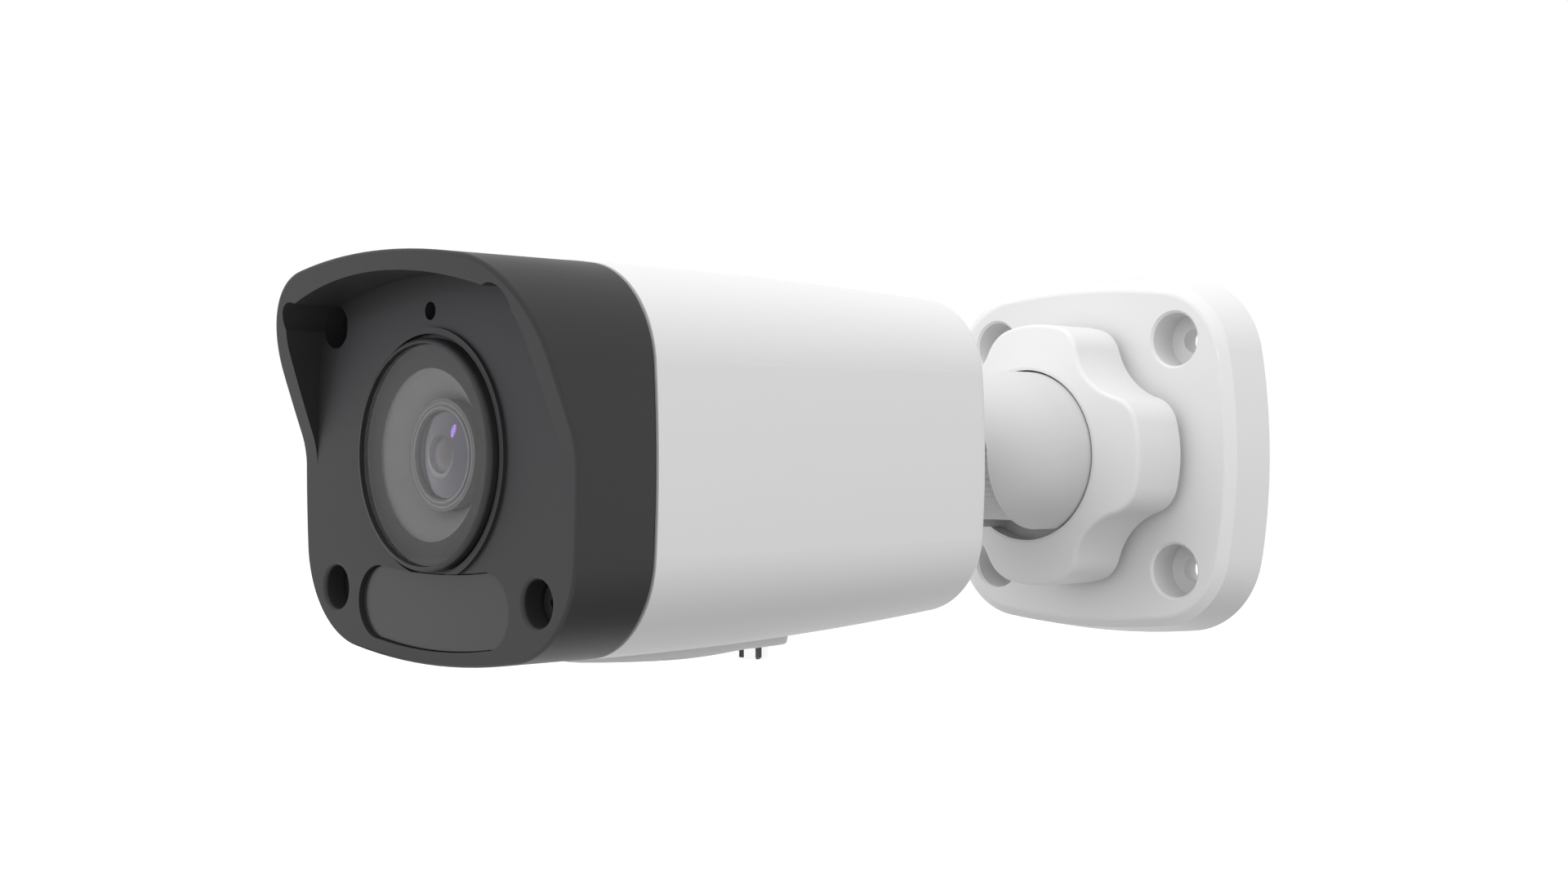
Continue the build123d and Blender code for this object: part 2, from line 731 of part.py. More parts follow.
# Front bezel: dark face with the visor, the window collar and the infrared opening
with BuildPart() as front_bezel:
    with BuildSketch(across(bezel_rear_at)) as bezel_section:
        body_outline(seam_at, bezel_inset)
        fillet(bezel_section.vertices(), body_corner(seam_at, bezel_inset))
    extrude(amount=visor_tip_at - bezel_rear_at)
    with BuildSketch(Plane.YZ) as visor_cut:
        side_outline(
            (face_at, -reach),
            (face_at, visor_start_z),
            (face_at + visor_slope * (reach - visor_start_z), reach),
            (reach + visor_tip_at, reach),
            (reach + visor_tip_at, -reach),
        )
        fillet(visor_cut.vertices().sort_by_distance((-face_at, visor_start_z))[0], visor_bend_r)
    extrude(amount=body_half_w, both=True, mode=Mode.SUBTRACT)
    front_edges = front_bezel.faces().filter_by(lambda f: f.normal_at().Y < -0.9).edges()
    fillet(front_edges.filter_by(GeomType.LINE, reverse=True), visor_edge_r)
    with BuildSketch(across(face_at)) as visor_room:
        room_half_w = body_half_w - visor_wall
        room_half_h = body_half_h - visor_top_wall
        bowed_outline(room_half_w, room_half_h, body_bow_w, visor_bow_h, -body_drop)
        fillet(visor_room.vertices(), visor_corner_r)
        with front_posts:
            Circle(face_screw_r + face_screw_rim)
    extrude(amount=visor_reach, mode=Mode.SUBTRACT)
    with BuildSketch(across(bezel_rear_at)) as bezel_room:
        body_outline(seam_at, bezel_inset + bezel_wall)
        fillet(bezel_room.vertices(), body_corner(seam_at, bezel_inset + bezel_wall))
        with front_posts:
            Circle(bezel_post_r, mode=Mode.SUBTRACT)
    extrude(amount=face_back_at - bezel_rear_at, mode=Mode.SUBTRACT)
    with BuildSketch(Plane.XY):
        turned_outline(
            (ledge_hole_r, collar_back_at),
            (collar_tube_r, collar_back_at),
            (collar_tube_r, face_back_at),
            (collar_ledge_r, face_back_at),
            (collar_ledge_r, face_at + collar_ledge_rise),
            (collar_rim_r, face_at + collar_ledge_rise),
            (collar_rim_r, collar_front_at),
            (ledge_hole_r, collar_front_at),
        )
    revolve(axis=Axis.Y)
    rim_edges = front_bezel.edges().filter_by(GeomType.CIRCLE)
    rim_edges = rim_edges.filter_by(lambda e: abs(e.radius - collar_rim_r) < seat_gap)
    fillet(rim_edges.sort_by(Axis.Y)[0], collar_edge_r)
    with BuildSketch(across(face_at - collar_groove_depth)):
        Circle(collar_groove_r)
        Circle(collar_rim_r, mode=Mode.SUBTRACT)
    extrude(amount=collar_groove_depth + collar_ledge_rise, mode=Mode.SUBTRACT)
    with BuildSketch(across(collar_back_at)):
        Circle(ledge_hole_r)
    extrude(amount=collar_front_at - collar_back_at, mode=Mode.SUBTRACT)
    with BuildSketch(across(ledge_at)):
        Circle(glass_seat_r)
    extrude(amount=collar_front_at - ledge_at, mode=Mode.SUBTRACT)
    with BuildSketch(across(ir_back_at)):
        ir_outline(0)
    extrude(amount=collar_front_at - ir_back_at, mode=Mode.SUBTRACT)
    with BuildSketch(across(ir_back_at)):
        ir_outline(ir_flange)
    extrude(amount=ir_flange_thickness, mode=Mode.SUBTRACT)
    with BuildSketch(across(face_screw_seat_at)):
        with front_posts:
            Circle(face_screw_r)
    extrude(amount=visor_tip_at - face_screw_seat_at, mode=Mode.SUBTRACT)
    hole_edges = front_bezel.edges().filter_by(GeomType.CIRCLE).filter_by_position(
        Axis.Y, -face_at - seat_gap, -face_at + seat_gap
    )
    hole_edges = hole_edges.filter_by(lambda e: abs(e.radius - face_screw_r) < seat_gap and e.center().Z < 0)
    fillet(hole_edges, face_screw_round)
    with BuildSketch(across(bezel_rear_at)):
        with front_posts:
            Circle(bezel_screw_r + free_gap)
    extrude(amount=face_screw_seat_at - bezel_rear_at, mode=Mode.SUBTRACT)
    with BuildSketch(across(face_back_at)):
        with Locations((0, mic_z)):
            Circle(mic_hole_r)
    extrude(amount=face_thickness, mode=Mode.SUBTRACT)
    with BuildSketch(across(face_back_at)):
        with Locations((ir_post_x, ir_post_z), (-ir_post_x, ir_post_z)):
            Circle(ir_post_r)
    extrude(amount=-ir_post_length)
    with BuildSketch(across(ir_board_front_at)):
        with Locations((ir_post_x, ir_post_z), (-ir_post_x, ir_post_z)):
            Circle(board_screw_r + seat_gap)
    extrude(amount=ir_post_length, mode=Mode.SUBTRACT)
front_bezel.part.label = "front_bezel"
export_step(front_bezel.part, "parts/front_bezel.step")


# Bezel gasket: strip between the bezel and the housing, set in from the outside
with BuildPart() as bezel_gasket:
    with BuildSketch(across(seam_at)) as gasket_strip:
        body_outline(seam_at, seal_strip_inset)
        fillet(gasket_strip.vertices(), body_corner(seam_at, seal_strip_inset))
    extrude(amount=seal_strip)
    with BuildSketch(across(seam_at)) as gasket_room:
        body_outline(seam_at, body_wall)
        fillet(gasket_room.vertices(), body_corner(seam_at, body_wall))
    extrude(amount=seal_strip, mode=Mode.SUBTRACT)
bezel_gasket.part.label = "bezel_gasket"
export_step(bezel_gasket.part, "parts/bezel_gasket.step")


# Bezel screws: four socket screws, heads deep in the face's holes
with BuildPart() as bezel_screws:
    with BuildSketch(across(face_screw_seat_at)):
        with front_posts:
            Circle(face_screw_r - free_gap)
    extrude(amount=bezel_screw_head)
    with BuildSketch(across(face_screw_seat_at)):
        with front_posts:
            Circle(bezel_screw_r)
    extrude(amount=seam_at - thread_depth + free_gap - face_screw_seat_at)
    with BuildSketch(across(face_screw_seat_at + bezel_screw_head)):
        with front_posts:
            RegularPolygon(bezel_socket_r, 6)
    extrude(amount=-bezel_socket_depth, mode=Mode.SUBTRACT)
bezel_screws.part.label = "bezel_screws"
export_step(bezel_screws.part, "parts/bezel_screws.step")


# Round window: gasket, printed border and glass, stacked in the collar
with BuildPart() as window_gasket:
    with BuildSketch(across(ledge_at)):
        Circle(glass_r)
        Circle(ledge_hole_r, mode=Mode.SUBTRACT)
    extrude(amount=gasket_thickness)
window_gasket.part.label = "window_gasket"
export_step(window_gasket.part, "parts/window_gasket.step")

with BuildPart() as window_mask:
    with BuildSketch(across(mask_back_at)):
        Circle(glass_r)
        Circle(mask_inner_r, mode=Mode.SUBTRACT)
    extrude(amount=mask_thickness)
window_mask.part.label = "window_mask"
export_step(window_mask.part, "parts/window_mask.step")

with BuildPart() as window_glass:
    with BuildSketch(across(glass_back_at)):
        Circle(glass_r)
    extrude(amount=glass_thickness)
window_glass.part.label = "window_glass"
export_step(window_glass.part, "parts/window_glass.step")


# Infrared panel: stepped pill that seats behind the face
with BuildPart() as ir_window:
    with BuildSketch(across(ir_back_at)):
        ir_outline(-ir_side_gap)
    extrude(amount=ir_front_at - ir_back_at)
    with BuildSketch(across(ir_back_at)):
        ir_outline(ir_flange - ir_side_gap)
        Circle(collar_tube_r + ir_side_gap, mode=Mode.SUBTRACT)
    extrude(amount=ir_flange_thickness - seat_gap)
ir_window.part.label = "ir_window"
export_step(ir_window.part, "parts/ir_window.step")


# Infrared lamps on their board, screwed to two posts behind the face
with BuildPart() as ir_board:
    with BuildSketch(across(ir_board_front_at)) as ir_board_face:
        with Locations((0, (ir_board_top_z + ir_board_bottom_z) / 2)):
            Rectangle(2 * ir_board_half_w, ir_board_top_z - ir_board_bottom_z)
        chamfer(ir_board_face.vertices().group_by(Axis.Z)[0], ir_board_corner)
        Circle(ir_board_lens_r, mode=Mode.SUBTRACT)
        with Locations((ir_post_x, ir_post_z), (-ir_post_x, ir_post_z)):
            Circle(board_screw_r + seat_gap, mode=Mode.SUBTRACT)
    extrude(amount=-board_thickness)
ir_board.part.label = "ir_board"
export_step(ir_board.part, "parts/ir_board.step")

with BuildPart() as ir_board_screws:
    with BuildSketch(across(ir_board_front_at - board_thickness)):
        with Locations((ir_post_x, ir_post_z), (-ir_post_x, ir_post_z)):
            Circle(board_screw_head_r)
    extrude(amount=-board_screw_head)
    with BuildSketch(across(ir_board_front_at - board_thickness)):
        with Locations((ir_post_x, ir_post_z), (-ir_post_x, ir_post_z)):
            Circle(board_screw_r)
    extrude(amount=board_screw_length)
ir_board_screws.part.label = "ir_board_screws"
export_step(ir_board_screws.part, "parts/ir_board_screws.step")

with BuildPart() as ir_leds:
    with BuildSketch(across(ir_board_front_at)):
        with Locations((ir_led_x, ir_mid_z), (-ir_led_x, ir_mid_z)):
            Rectangle(2 * ir_led_r, 2 * ir_led_r)
    extrude(amount=ir_led_body)
    led_top = across(ir_board_front_at + ir_led_body)
    with Locations(*[led_top * Pos(side * ir_led_x, ir_mid_z) for side in (1, -1)]):
        Sphere(ir_led_r - ir_side_gap, arc_size1=0, arc_size2=90)
ir_leds.part.label = "ir_leds"
export_step(ir_leds.part, "parts/ir_leds.step")


# Microphone capsule in its sleeve, behind the small hole over the window
with BuildPart() as mic_seal:
    with BuildSketch(across(face_back_at)):
        with Locations((0, mic_z)):
            Circle(mic_r + mic_seal_wall)
            Circle(mic_r, mode=Mode.SUBTRACT)
    extrude(amount=-mic_seal_length)
mic_seal.part.label = "mic_seal"
export_step(mic_seal.part, "parts/mic_seal.step")

with BuildPart() as microphone:
    with BuildSketch(across(face_back_at - mic_seal_length)):
        with Locations((0, mic_z)):
            Circle(mic_r - seat_gap)
    extrude(amount=mic_length)
microphone.part.label = "microphone"
export_step(microphone.part, "parts/microphone.step")


# Lens barrel: threaded tail and a stepped, coned head
with BuildPart() as lens_barrel:
    with BuildSketch(Plane.XY):
        turned_outline(
            (0, lens_tail_at),
            (lens_thread_r, lens_tail_at),
            (lens_thread_r, lens_head_at),
            (lens_head_r, lens_head_at),
            (lens_head_r, lens_front_at - lens_ring_depth),
            (lens_ring_r, lens_front_at - lens_ring_depth),
            (lens_ring_r, lens_front_at),
            (lens_ring_r - lens_ring_width, lens_front_at),
            (lens_glass_r, lens_front_at - lens_cone_depth),
            (lens_glass_r, lens_front_at - lens_glass_depth),
            (0, lens_front_at - lens_glass_depth),
        )
    revolve(axis=Axis.Y)
lens_barrel.part.label = "lens_barrel"
export_step(lens_barrel.part, "parts/lens_barrel.step")

with BuildPart() as lens_front_element:
    with BuildSketch(Plane.XY):
        with BuildLine():
            Polyline(
                (0, -element_edge_at - lens_glass_bulge),
                (0, -element_back_at),
                (element_r, -element_back_at),
                (element_r, -element_edge_at),
            )
            CenterArc((0, element_mid_y), element_ball_r, 270, element_arc)
        make_face()
    revolve(axis=Axis.Y)
lens_front_element.part.label = "lens_front_element"
export_step(lens_front_element.part, "parts/lens_front_element.step")


# Lens holder: square base on the sensor board and a round threaded tower
with BuildPart() as lens_holder:
    with BuildSketch(across(sensor_board_front_at)):
        Rectangle(2 * holder_half, 2 * holder_half)
    extrude(amount=holder_base)
    with BuildSketch(across(sensor_board_front_at)):
        Circle(lens_thread_r + holder_wall)
    extrude(amount=holder_top_at - sensor_board_front_at)
    with BuildSketch(across(sensor_board_front_at)):
        Circle(lens_thread_r + seat_gap)
    extrude(amount=holder_top_at - sensor_board_front_at, mode=Mode.SUBTRACT)
lens_holder.part.label = "lens_holder"
export_step(lens_holder.part, "parts/lens_holder.step")


# Lens shroud: flared rubber sleeve from the holder to the window
with BuildPart() as lens_shroud:
    with BuildSketch(Plane.XY):
        shroud_r = lens_head_r + free_gap
        turned_outline(
            (lens_thread_r + seat_gap, holder_top_at),
            (shroud_r + shroud_wall, holder_top_at),
            (shroud_r + shroud_wall, shroud_throat_at - shroud_wall),
            (shroud_mouth_r, ledge_at - shroud_wall),
            (shroud_mouth_r, mask_back_at - shroud_mouth_gap),
            (shroud_r, shroud_throat_at),
            (shroud_r, holder_top_at + shroud_wall),
            (lens_thread_r + seat_gap, holder_top_at + shroud_wall),
        )
    revolve(axis=Axis.Y)
lens_shroud.part.label = "lens_shroud"
export_step(lens_shroud.part, "parts/lens_shroud.step")


# Sensor board with its chip and screws
with BuildPart() as sensor_board:
    with BuildSketch(across(sensor_board_rear_at)):
        Rectangle(2 * sensor_board_half_w, 2 * sensor_board_half_h)
        with sensor_posts:
            Circle(board_screw_r + seat_gap, mode=Mode.SUBTRACT)
    extrude(amount=board_thickness)
sensor_board.part.label = "sensor_board"
export_step(sensor_board.part, "parts/sensor_board.step")

with BuildPart() as image_sensor:
    with BuildSketch(across(sensor_board_front_at)):
        Rectangle(2 * sensor_half_w, 2 * sensor_half_h)
    extrude(amount=sensor_thickness)
image_sensor.part.label = "image_sensor"
export_step(image_sensor.part, "parts/image_sensor.step")

with BuildPart() as sensor_board_screws:
    with BuildSketch(across(sensor_board_front_at)):
        with sensor_posts:
            Circle(board_screw_head_r)
    extrude(amount=board_screw_head)
    with BuildSketch(across(sensor_board_front_at)):
        with sensor_posts:
            Circle(board_screw_r)
    extrude(amount=-board_screw_length)
sensor_board_screws.part.label = "sensor_board_screws"
export_step(sensor_board_screws.part, "parts/sensor_board_screws.step")


# Inner frame: upright plate with posts for the sensor board and a shelf for the main board
with BuildPart() as chassis:
    with BuildSketch(across(chassis_rear_at)):
        Rectangle(2 * chassis_half_w, 2 * chassis_half_h)
    extrude(amount=chassis_thickness)
    with BuildSketch(across(chassis_front_at)):
        with sensor_posts:
            Circle(chassis_post_r)
    extrude(amount=sensor_board_rear_at - chassis_front_at)
    with BuildSketch(Plane.XY.offset(shelf_bottom_z)):
        with Locations((0, -(shelf_rear_at + chassis_rear_at) / 2)):
            Rectangle(2 * shelf_half_w, chassis_rear_at - shelf_rear_at)
    extrude(amount=shelf_thickness)
    with BuildSketch(Plane.XY.offset(shelf_bottom_z)):
        with Locations((0, -main_board_mid_at)):
            with GridLocations(2 * main_post_x, main_post_span, 2, 2):
                Circle(chassis_post_r)
    extrude(amount=-main_board_drop)
    with BuildSketch(across(sensor_board_rear_at)):
        with sensor_posts:
            Circle(board_screw_r + seat_gap)
    extrude(amount=-board_screw_length, mode=Mode.SUBTRACT)
    with BuildSketch(across(chassis_rear_at)):
        with Locations((chassis_screw_x, 0), (-chassis_screw_x, 0)):
            Circle(board_screw_r + seat_gap)
    extrude(amount=chassis_thickness, mode=Mode.SUBTRACT)
    with BuildSketch(Plane.XY.offset(main_board_top_z)):
        with Locations((0, -main_board_mid_at)):
            with GridLocations(2 * main_post_x, main_post_span, 2, 2):
                Circle(board_screw_r + seat_gap)
    extrude(amount=board_screw_length, mode=Mode.SUBTRACT)
chassis.part.label = "chassis"
export_step(chassis.part, "parts/chassis.step")

with BuildPart() as chassis_screws:
    with BuildSketch(across(chassis_front_at)):
        with Locations((chassis_screw_x, 0), (-chassis_screw_x, 0)):
            Circle(board_screw_head_r)
    extrude(amount=board_screw_head)
    with BuildSketch(across(chassis_front_at)):
        with Locations((chassis_screw_x, 0), (-chassis_screw_x, 0)):
            Circle(board_screw_r)
    extrude(amount=-board_screw_length - chassis_thickness)
chassis_screws.part.label = "chassis_screws"
export_step(chassis_screws.part, "parts/chassis_screws.step")


# Main board under the shelf, with its chip, heat pad and card holder
with BuildPart() as main_board:
    with BuildSketch(Plane.XY.offset(main_board_bottom_z)):
        with Locations((0, -main_board_mid_at)):
            Rectangle(2 * main_board_half_w, main_board_front_at - main_board_rear_at)
            with GridLocations(2 * main_post_x, main_post_span, 2, 2):
                Circle(board_screw_r + seat_gap, mode=Mode.SUBTRACT)
    extrude(amount=board_thickness)
main_board.part.label = "main_board"
export_step(main_board.part, "parts/main_board.step")

with BuildPart() as main_board_screws:
    with BuildSketch(Plane.XY.offset(main_board_bottom_z)):
        with Locations((0, -main_board_mid_at)):
            with GridLocations(2 * main_post_x, main_post_span, 2, 2):
                Circle(board_screw_head_r)
    extrude(amount=-board_screw_head)
    with BuildSketch(Plane.XY.offset(main_board_bottom_z)):
        with Locations((0, -main_board_mid_at)):
            with GridLocations(2 * main_post_x, main_post_span, 2, 2):
                Circle(board_screw_r)
    extrude(amount=board_screw_length)
main_board_screws.part.label = "main_board_screws"
export_step(main_board_screws.part, "parts/main_board_screws.step")

with BuildPart() as processor:
    with BuildSketch(Plane.XY.offset(main_board_top_z)):
        with Locations((0, -chip_at)):
            Rectangle(2 * chip_half, 2 * chip_half)
    extrude(amount=chip_thickness)
processor.part.label = "processor"
export_step(processor.part, "parts/processor.step")

with BuildPart() as heat_pad:
    with BuildSketch(Plane.XY.offset(main_board_top_z + chip_thickness)):
        with Locations((0, -chip_at)):
            Rectangle(2 * chip_half, 2 * chip_half)
    extrude(amount=main_board_drop - chip_thickness)
heat_pad.part.label = "heat_pad"
export_step(heat_pad.part, "parts/heat_pad.step")

with BuildPart() as card_slot:
    with BuildSketch(Plane.XY.offset(main_board_bottom_z)):
        with Locations((0, -card_at)):
            Rectangle(2 * card_half_w, card_length)
    extrude(amount=-card_thickness)
card_slot.part.label = "card_slot"
export_step(card_slot.part, "parts/card_slot.step")


# Service cover: tongue under the body with a round tail, and a plug into the hatch
with BuildPart() as service_cover:
    with BuildSketch(Plane.XY) as cover_plan:
        cover_outline(cover_plan, 0)
    extrude(amount=cover_low_z)
    with BuildSketch(Plane.YZ):
        with BuildLine():
            Spline(
                (-cover_front_at, cover_front_z),
                (-cover_low_at, cover_low_z),
                (-cover_tail_at, cover_tail_z),
            )
            Polyline(
                (-cover_tail_at, cover_tail_z),
                (-cover_tail_at, 0),
                (-cover_front_at, 0),
                (-cover_front_at, cover_front_z),
            )
        make_face()
    extrude(amount=cover_half_w, both=True, mode=Mode.INTERSECT)
    fillet(service_cover.faces().sort_by(Axis.Z)[0].edges(), cover_edge_r)
    with BuildSketch(Plane.YZ):
        with Locations((-cover_tail_at, cover_tail_z)):
            Rectangle(2 * cover_tail_round, 2 * cover_tail_round)
        with Locations((-cover_tail_at - cover_tail_round, cover_tail_z + cover_tail_round)):
            Circle(cover_tail_round, mode=Mode.SUBTRACT)
    extrude(amount=cover_half_w, both=True, mode=Mode.SUBTRACT)
    with BuildSketch(across(seam_at)) as cover_seat_front:
        body_outline(seam_at, cover_seat_depth - cover_gap)
        fillet(cover_seat_front.vertices(), body_corner(seam_at, cover_seat_depth - cover_gap))
    with BuildSketch(across(body_rear_at)) as cover_seat_rear:
        body_outline(body_rear_at, cover_seat_depth - cover_gap)
        fillet(cover_seat_rear.vertices(), body_corner(body_rear_at, cover_seat_depth - cover_gap))
    loft(ruled=True, mode=Mode.SUBTRACT)
    with BuildSketch(Plane.XY.offset(body_bottom_z)):
        with Locations((0, -hatch_mid_at)):
            Rectangle(2 * (hatch_half_w - hatch_plug_inset), hatch_length - 2 * hatch_plug_inset)
    extrude(amount=hatch_plug_rise)
    with BuildSketch(Plane.XY):
        with Locations((0, -cover_screw_at)):
            Circle(cover_screw_r + cover_gap)
    extrude(amount=cover_low_z, mode=Mode.SUBTRACT)
    with BuildSketch(Plane.XY.offset(cover_screw_foot_z)):
        with Locations((0, -cover_screw_at)):
            Circle(cover_screw_head_r + cover_gap)
    extrude(amount=cover_low_z - cover_screw_foot_z, mode=Mode.SUBTRACT)
service_cover.part.label = "service_cover"
export_step(service_cover.part, "parts/service_cover.step")

with BuildPart() as cover_gasket:
    with BuildSketch(Plane.XY.offset(body_bottom_z + hatch_plug_rise)):
        with Locations((0, -hatch_mid_at)):
            Rectangle(2 * (hatch_half_w - hatch_gasket_gap), hatch_length - 2 * hatch_gasket_gap)
            Rectangle(
                2 * (hatch_half_w - hatch_plug_inset + seat_gap),
                hatch_length - 2 * (hatch_plug_inset - seat_gap),
                mode=Mode.SUBTRACT,
            )
    extrude(amount=-hatch_gasket_height)
cover_gasket.part.label = "cover_gasket"
export_step(cover_gasket.part, "parts/cover_gasket.step")

with BuildPart() as cover_screw:
    with BuildSketch(Plane.XY.offset(cover_screw_tip_z)):
        with Locations((0, -cover_screw_at)):
            Circle(cover_screw_head_r)
    extrude(amount=cover_screw_head)
    chamfer(cover_screw.faces().sort_by(Axis.Z)[0].edges(), cover_screw_chamfer)
    with BuildSketch(Plane.XY.offset(cover_screw_foot_z)):
        with Locations((0, -cover_screw_at)):
            Circle(cover_screw_r)
    extrude(amount=cover_screw_reach)
cover_screw.part.label = "cover_screw"
export_step(cover_screw.part, "parts/cover_screw.step")
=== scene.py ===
"""Looks of a wall camera on a three-axis bracket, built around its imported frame, in metres."""
from __future__ import annotations

import logging
import math
from dataclasses import dataclass
from enum import Enum
from typing import ClassVar

import bmesh
import bpy
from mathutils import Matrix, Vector


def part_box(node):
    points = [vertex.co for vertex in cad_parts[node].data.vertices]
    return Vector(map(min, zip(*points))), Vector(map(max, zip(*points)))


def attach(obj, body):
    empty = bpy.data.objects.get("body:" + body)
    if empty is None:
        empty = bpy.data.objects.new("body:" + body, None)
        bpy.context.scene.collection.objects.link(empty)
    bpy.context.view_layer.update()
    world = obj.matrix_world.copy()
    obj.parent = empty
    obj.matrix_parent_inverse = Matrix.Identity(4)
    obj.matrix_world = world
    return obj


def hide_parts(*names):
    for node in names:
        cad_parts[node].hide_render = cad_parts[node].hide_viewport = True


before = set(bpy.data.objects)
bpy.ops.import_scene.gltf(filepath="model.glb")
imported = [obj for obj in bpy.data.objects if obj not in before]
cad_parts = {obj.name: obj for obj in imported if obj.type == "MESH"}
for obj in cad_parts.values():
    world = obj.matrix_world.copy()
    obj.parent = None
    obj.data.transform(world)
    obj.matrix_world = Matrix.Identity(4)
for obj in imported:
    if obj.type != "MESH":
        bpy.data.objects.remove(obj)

LOG = logging.getLogger("wall_camera")
CAMERA_BODY = "camera"
MM = 0.001
SHARP_ANGLE = math.radians(35.0)
UP = Vector((0.0, 0.0, 1.0))
Point = tuple[float, float]
Triple = tuple[float, float, float]


class Slot(Enum):
    """The record's material slots that the scene's own pieces belong to."""

    WHITE_PAINT = "white_paint"
    CLEAR_GLASS = "clear_glass"
    BLACK_PRINT = "black_print"
    BLACK_METAL = "black_metal"


@dataclass(frozen=True)
class Finish:
    """A procedural surface: a shader with fine grain, cloudy colour and uneven gloss.

    Args:
        name: the material's name.
        colour: base colour, linear red, green and blue.
        roughness: middle roughness.
        metallic: 0 for paint and plastic, 1 for bare metal.
        specular: specular level of the shader.
        ior: index of refraction.
        transmission: share of light that passes through.
        grain_size: size of the grain's bumps, in metres.
        grain_height: height of the grain's bumps, in metres, or 0 for a smooth surface.
        grain_detail: how many finer layers the grain has.
        cloud_size: size of the patches of colour and gloss, in metres.
        cloud_detail: how many finer layers the patches have.
        colour_spread: how far the colour varies between patches, as a share.
        gloss_spread: how far the roughness varies between patches.
        tint: colour of the reflections, as given by a thin coating.
    """

    name: str
    colour: Triple
    roughness: float = 0.4
    metallic: float = 0.0
    specular: float = 0.5
    ior: float = 1.5
    transmission: float = 0.0
    grain_size: float = 0.8 * MM
    grain_height: float = 0.0
    grain_detail: float = 2.0
    cloud_size: float = 20.0 * MM
    cloud_detail: float = 4.0
    colour_spread: float = 0.02
    gloss_spread: float = 0.03
    tint: Triple = (1.0, 1.0, 1.0)

    def material(self) -> bpy.types.Material:
        """Makes the material, or returns it if it is there already.

        Returns:
            The node material of this finish.
        """
        known = bpy.data.materials.get(self.name)
        if known is not None:
            return known
        made = bpy.data.materials.new(self.name)
        made.use_nodes = True
        made.diffuse_color = (*self.colour, 1.0)
        tree = made.node_tree
        shader = tree.nodes["Principled BSDF"]
        shader.inputs["Metallic"].default_value = self.metallic
        shader.inputs["Specular IOR Level"].default_value = self.specular
        shader.inputs["IOR"].default_value = self.ior
        shader.inputs["Transmission Weight"].default_value = self.transmission
        shader.inputs["Specular Tint"].default_value = (*self.tint, 1.0)
        place = tree.nodes.new("ShaderNodeTexCoord")
        self._clouds(tree, place, shader)
        if self.grain_height > 0.0:
            self._grain(tree, place, shader)
        return made

    def _clouds(self, tree: bpy.types.NodeTree, place: bpy.types.Node, shader: bpy.types.Node) -> None:
        """Varies colour and gloss in soft patches.

        Args:
            tree: the material's node tree.
            place: the node that gives places on the object.
            shader: the material's shader.
        """
        clouds = tree.nodes.new("ShaderNodeTexNoise")
        clouds.inputs["Scale"].default_value = 1.0 / self.cloud_size
        clouds.inputs["Detail"].default_value = self.cloud_detail
        tree.links.new(place.outputs["Object"], clouds.inputs["Vector"])
        patches = tree.nodes.new("ShaderNodeMix")
        patches.data_type = "RGBA"
        low = [c * (1.0 - self.colour_spread) for c in self.colour]
        high = [min(1.0, c * (1.0 + self.colour_spread)) for c in self.colour]
        patches.inputs["A"].default_value = (*low, 1.0)
        patches.inputs["B"].default_value = (*high, 1.0)
        tree.links.new(clouds.outputs["Fac"], patches.inputs["Factor"])
        tree.links.new(patches.outputs["Result"], shader.inputs["Base Color"])
        gloss = tree.nodes.new("ShaderNodeMapRange")
        gloss.inputs["To Min"].default_value = max(0.0, self.roughness - self.gloss_spread)
        gloss.inputs["To Max"].default_value = min(1.0, self.roughness + self.gloss_spread)
        tree.links.new(clouds.outputs["Fac"], gloss.inputs["Value"])
        tree.links.new(gloss.outputs["Result"], shader.inputs["Roughness"])

    def _grain(self, tree: bpy.types.NodeTree, place: bpy.types.Node, shader: bpy.types.Node) -> None:
        """Adds the fine bumps of a coat of paint or a moulding's texture.

        Args:
            tree: the material's node tree.
            place: the node that gives places on the object.
            shader: the material's shader.
        """
        grain = tree.nodes.new("ShaderNodeTexNoise")
        grain.inputs["Scale"].default_value = 1.0 / self.grain_size
        grain.inputs["Detail"].default_value = self.grain_detail
        tree.links.new(place.outputs["Object"], grain.inputs["Vector"])
        bump = tree.nodes.new("ShaderNodeBump")
        bump.inputs["Strength"].default_value = 1.0
        bump.inputs["Distance"].default_value = self.grain_height
        tree.links.new(grain.outputs["Fac"], bump.inputs["Height"])
        tree.links.new(bump.outputs["Normal"], shader.inputs["Normal"])


WHITE_COAT = Finish("white_coat", (0.7, 0.7, 0.7), roughness=0.42, grain_size=0.7 * MM,
                    grain_height=0.004 * MM, colour_spread=0.008)
# Darker than the white coat: painted shade for the turret and tilt arm, which sit in shade behind the
# body.
WHITE_WITH_PAINTED_SHADE = Finish("white_with_painted_shade", (0.58, 0.58, 0.58), roughness=0.45, grain_size=0.5 * MM,
                        grain_height=0.004 * MM, colour_spread=0.01)
DARK_MOULDING = Finish("dark_moulding", (0.018, 0.018, 0.018), roughness=0.5, specular=0.42,
                       grain_size=0.25 * MM, grain_height=0.006 * MM, colour_spread=0.06)
WINDOW_GLASS = Finish("window_glass", (1.0, 1.0, 1.0), roughness=0.0, ior=1.33, transmission=1.0,
                      colour_spread=0.0, gloss_spread=0.0)
SMOKED_PANEL = Finish("smoked_panel", (0.018, 0.018, 0.019), roughness=0.25, colour_spread=0.05)
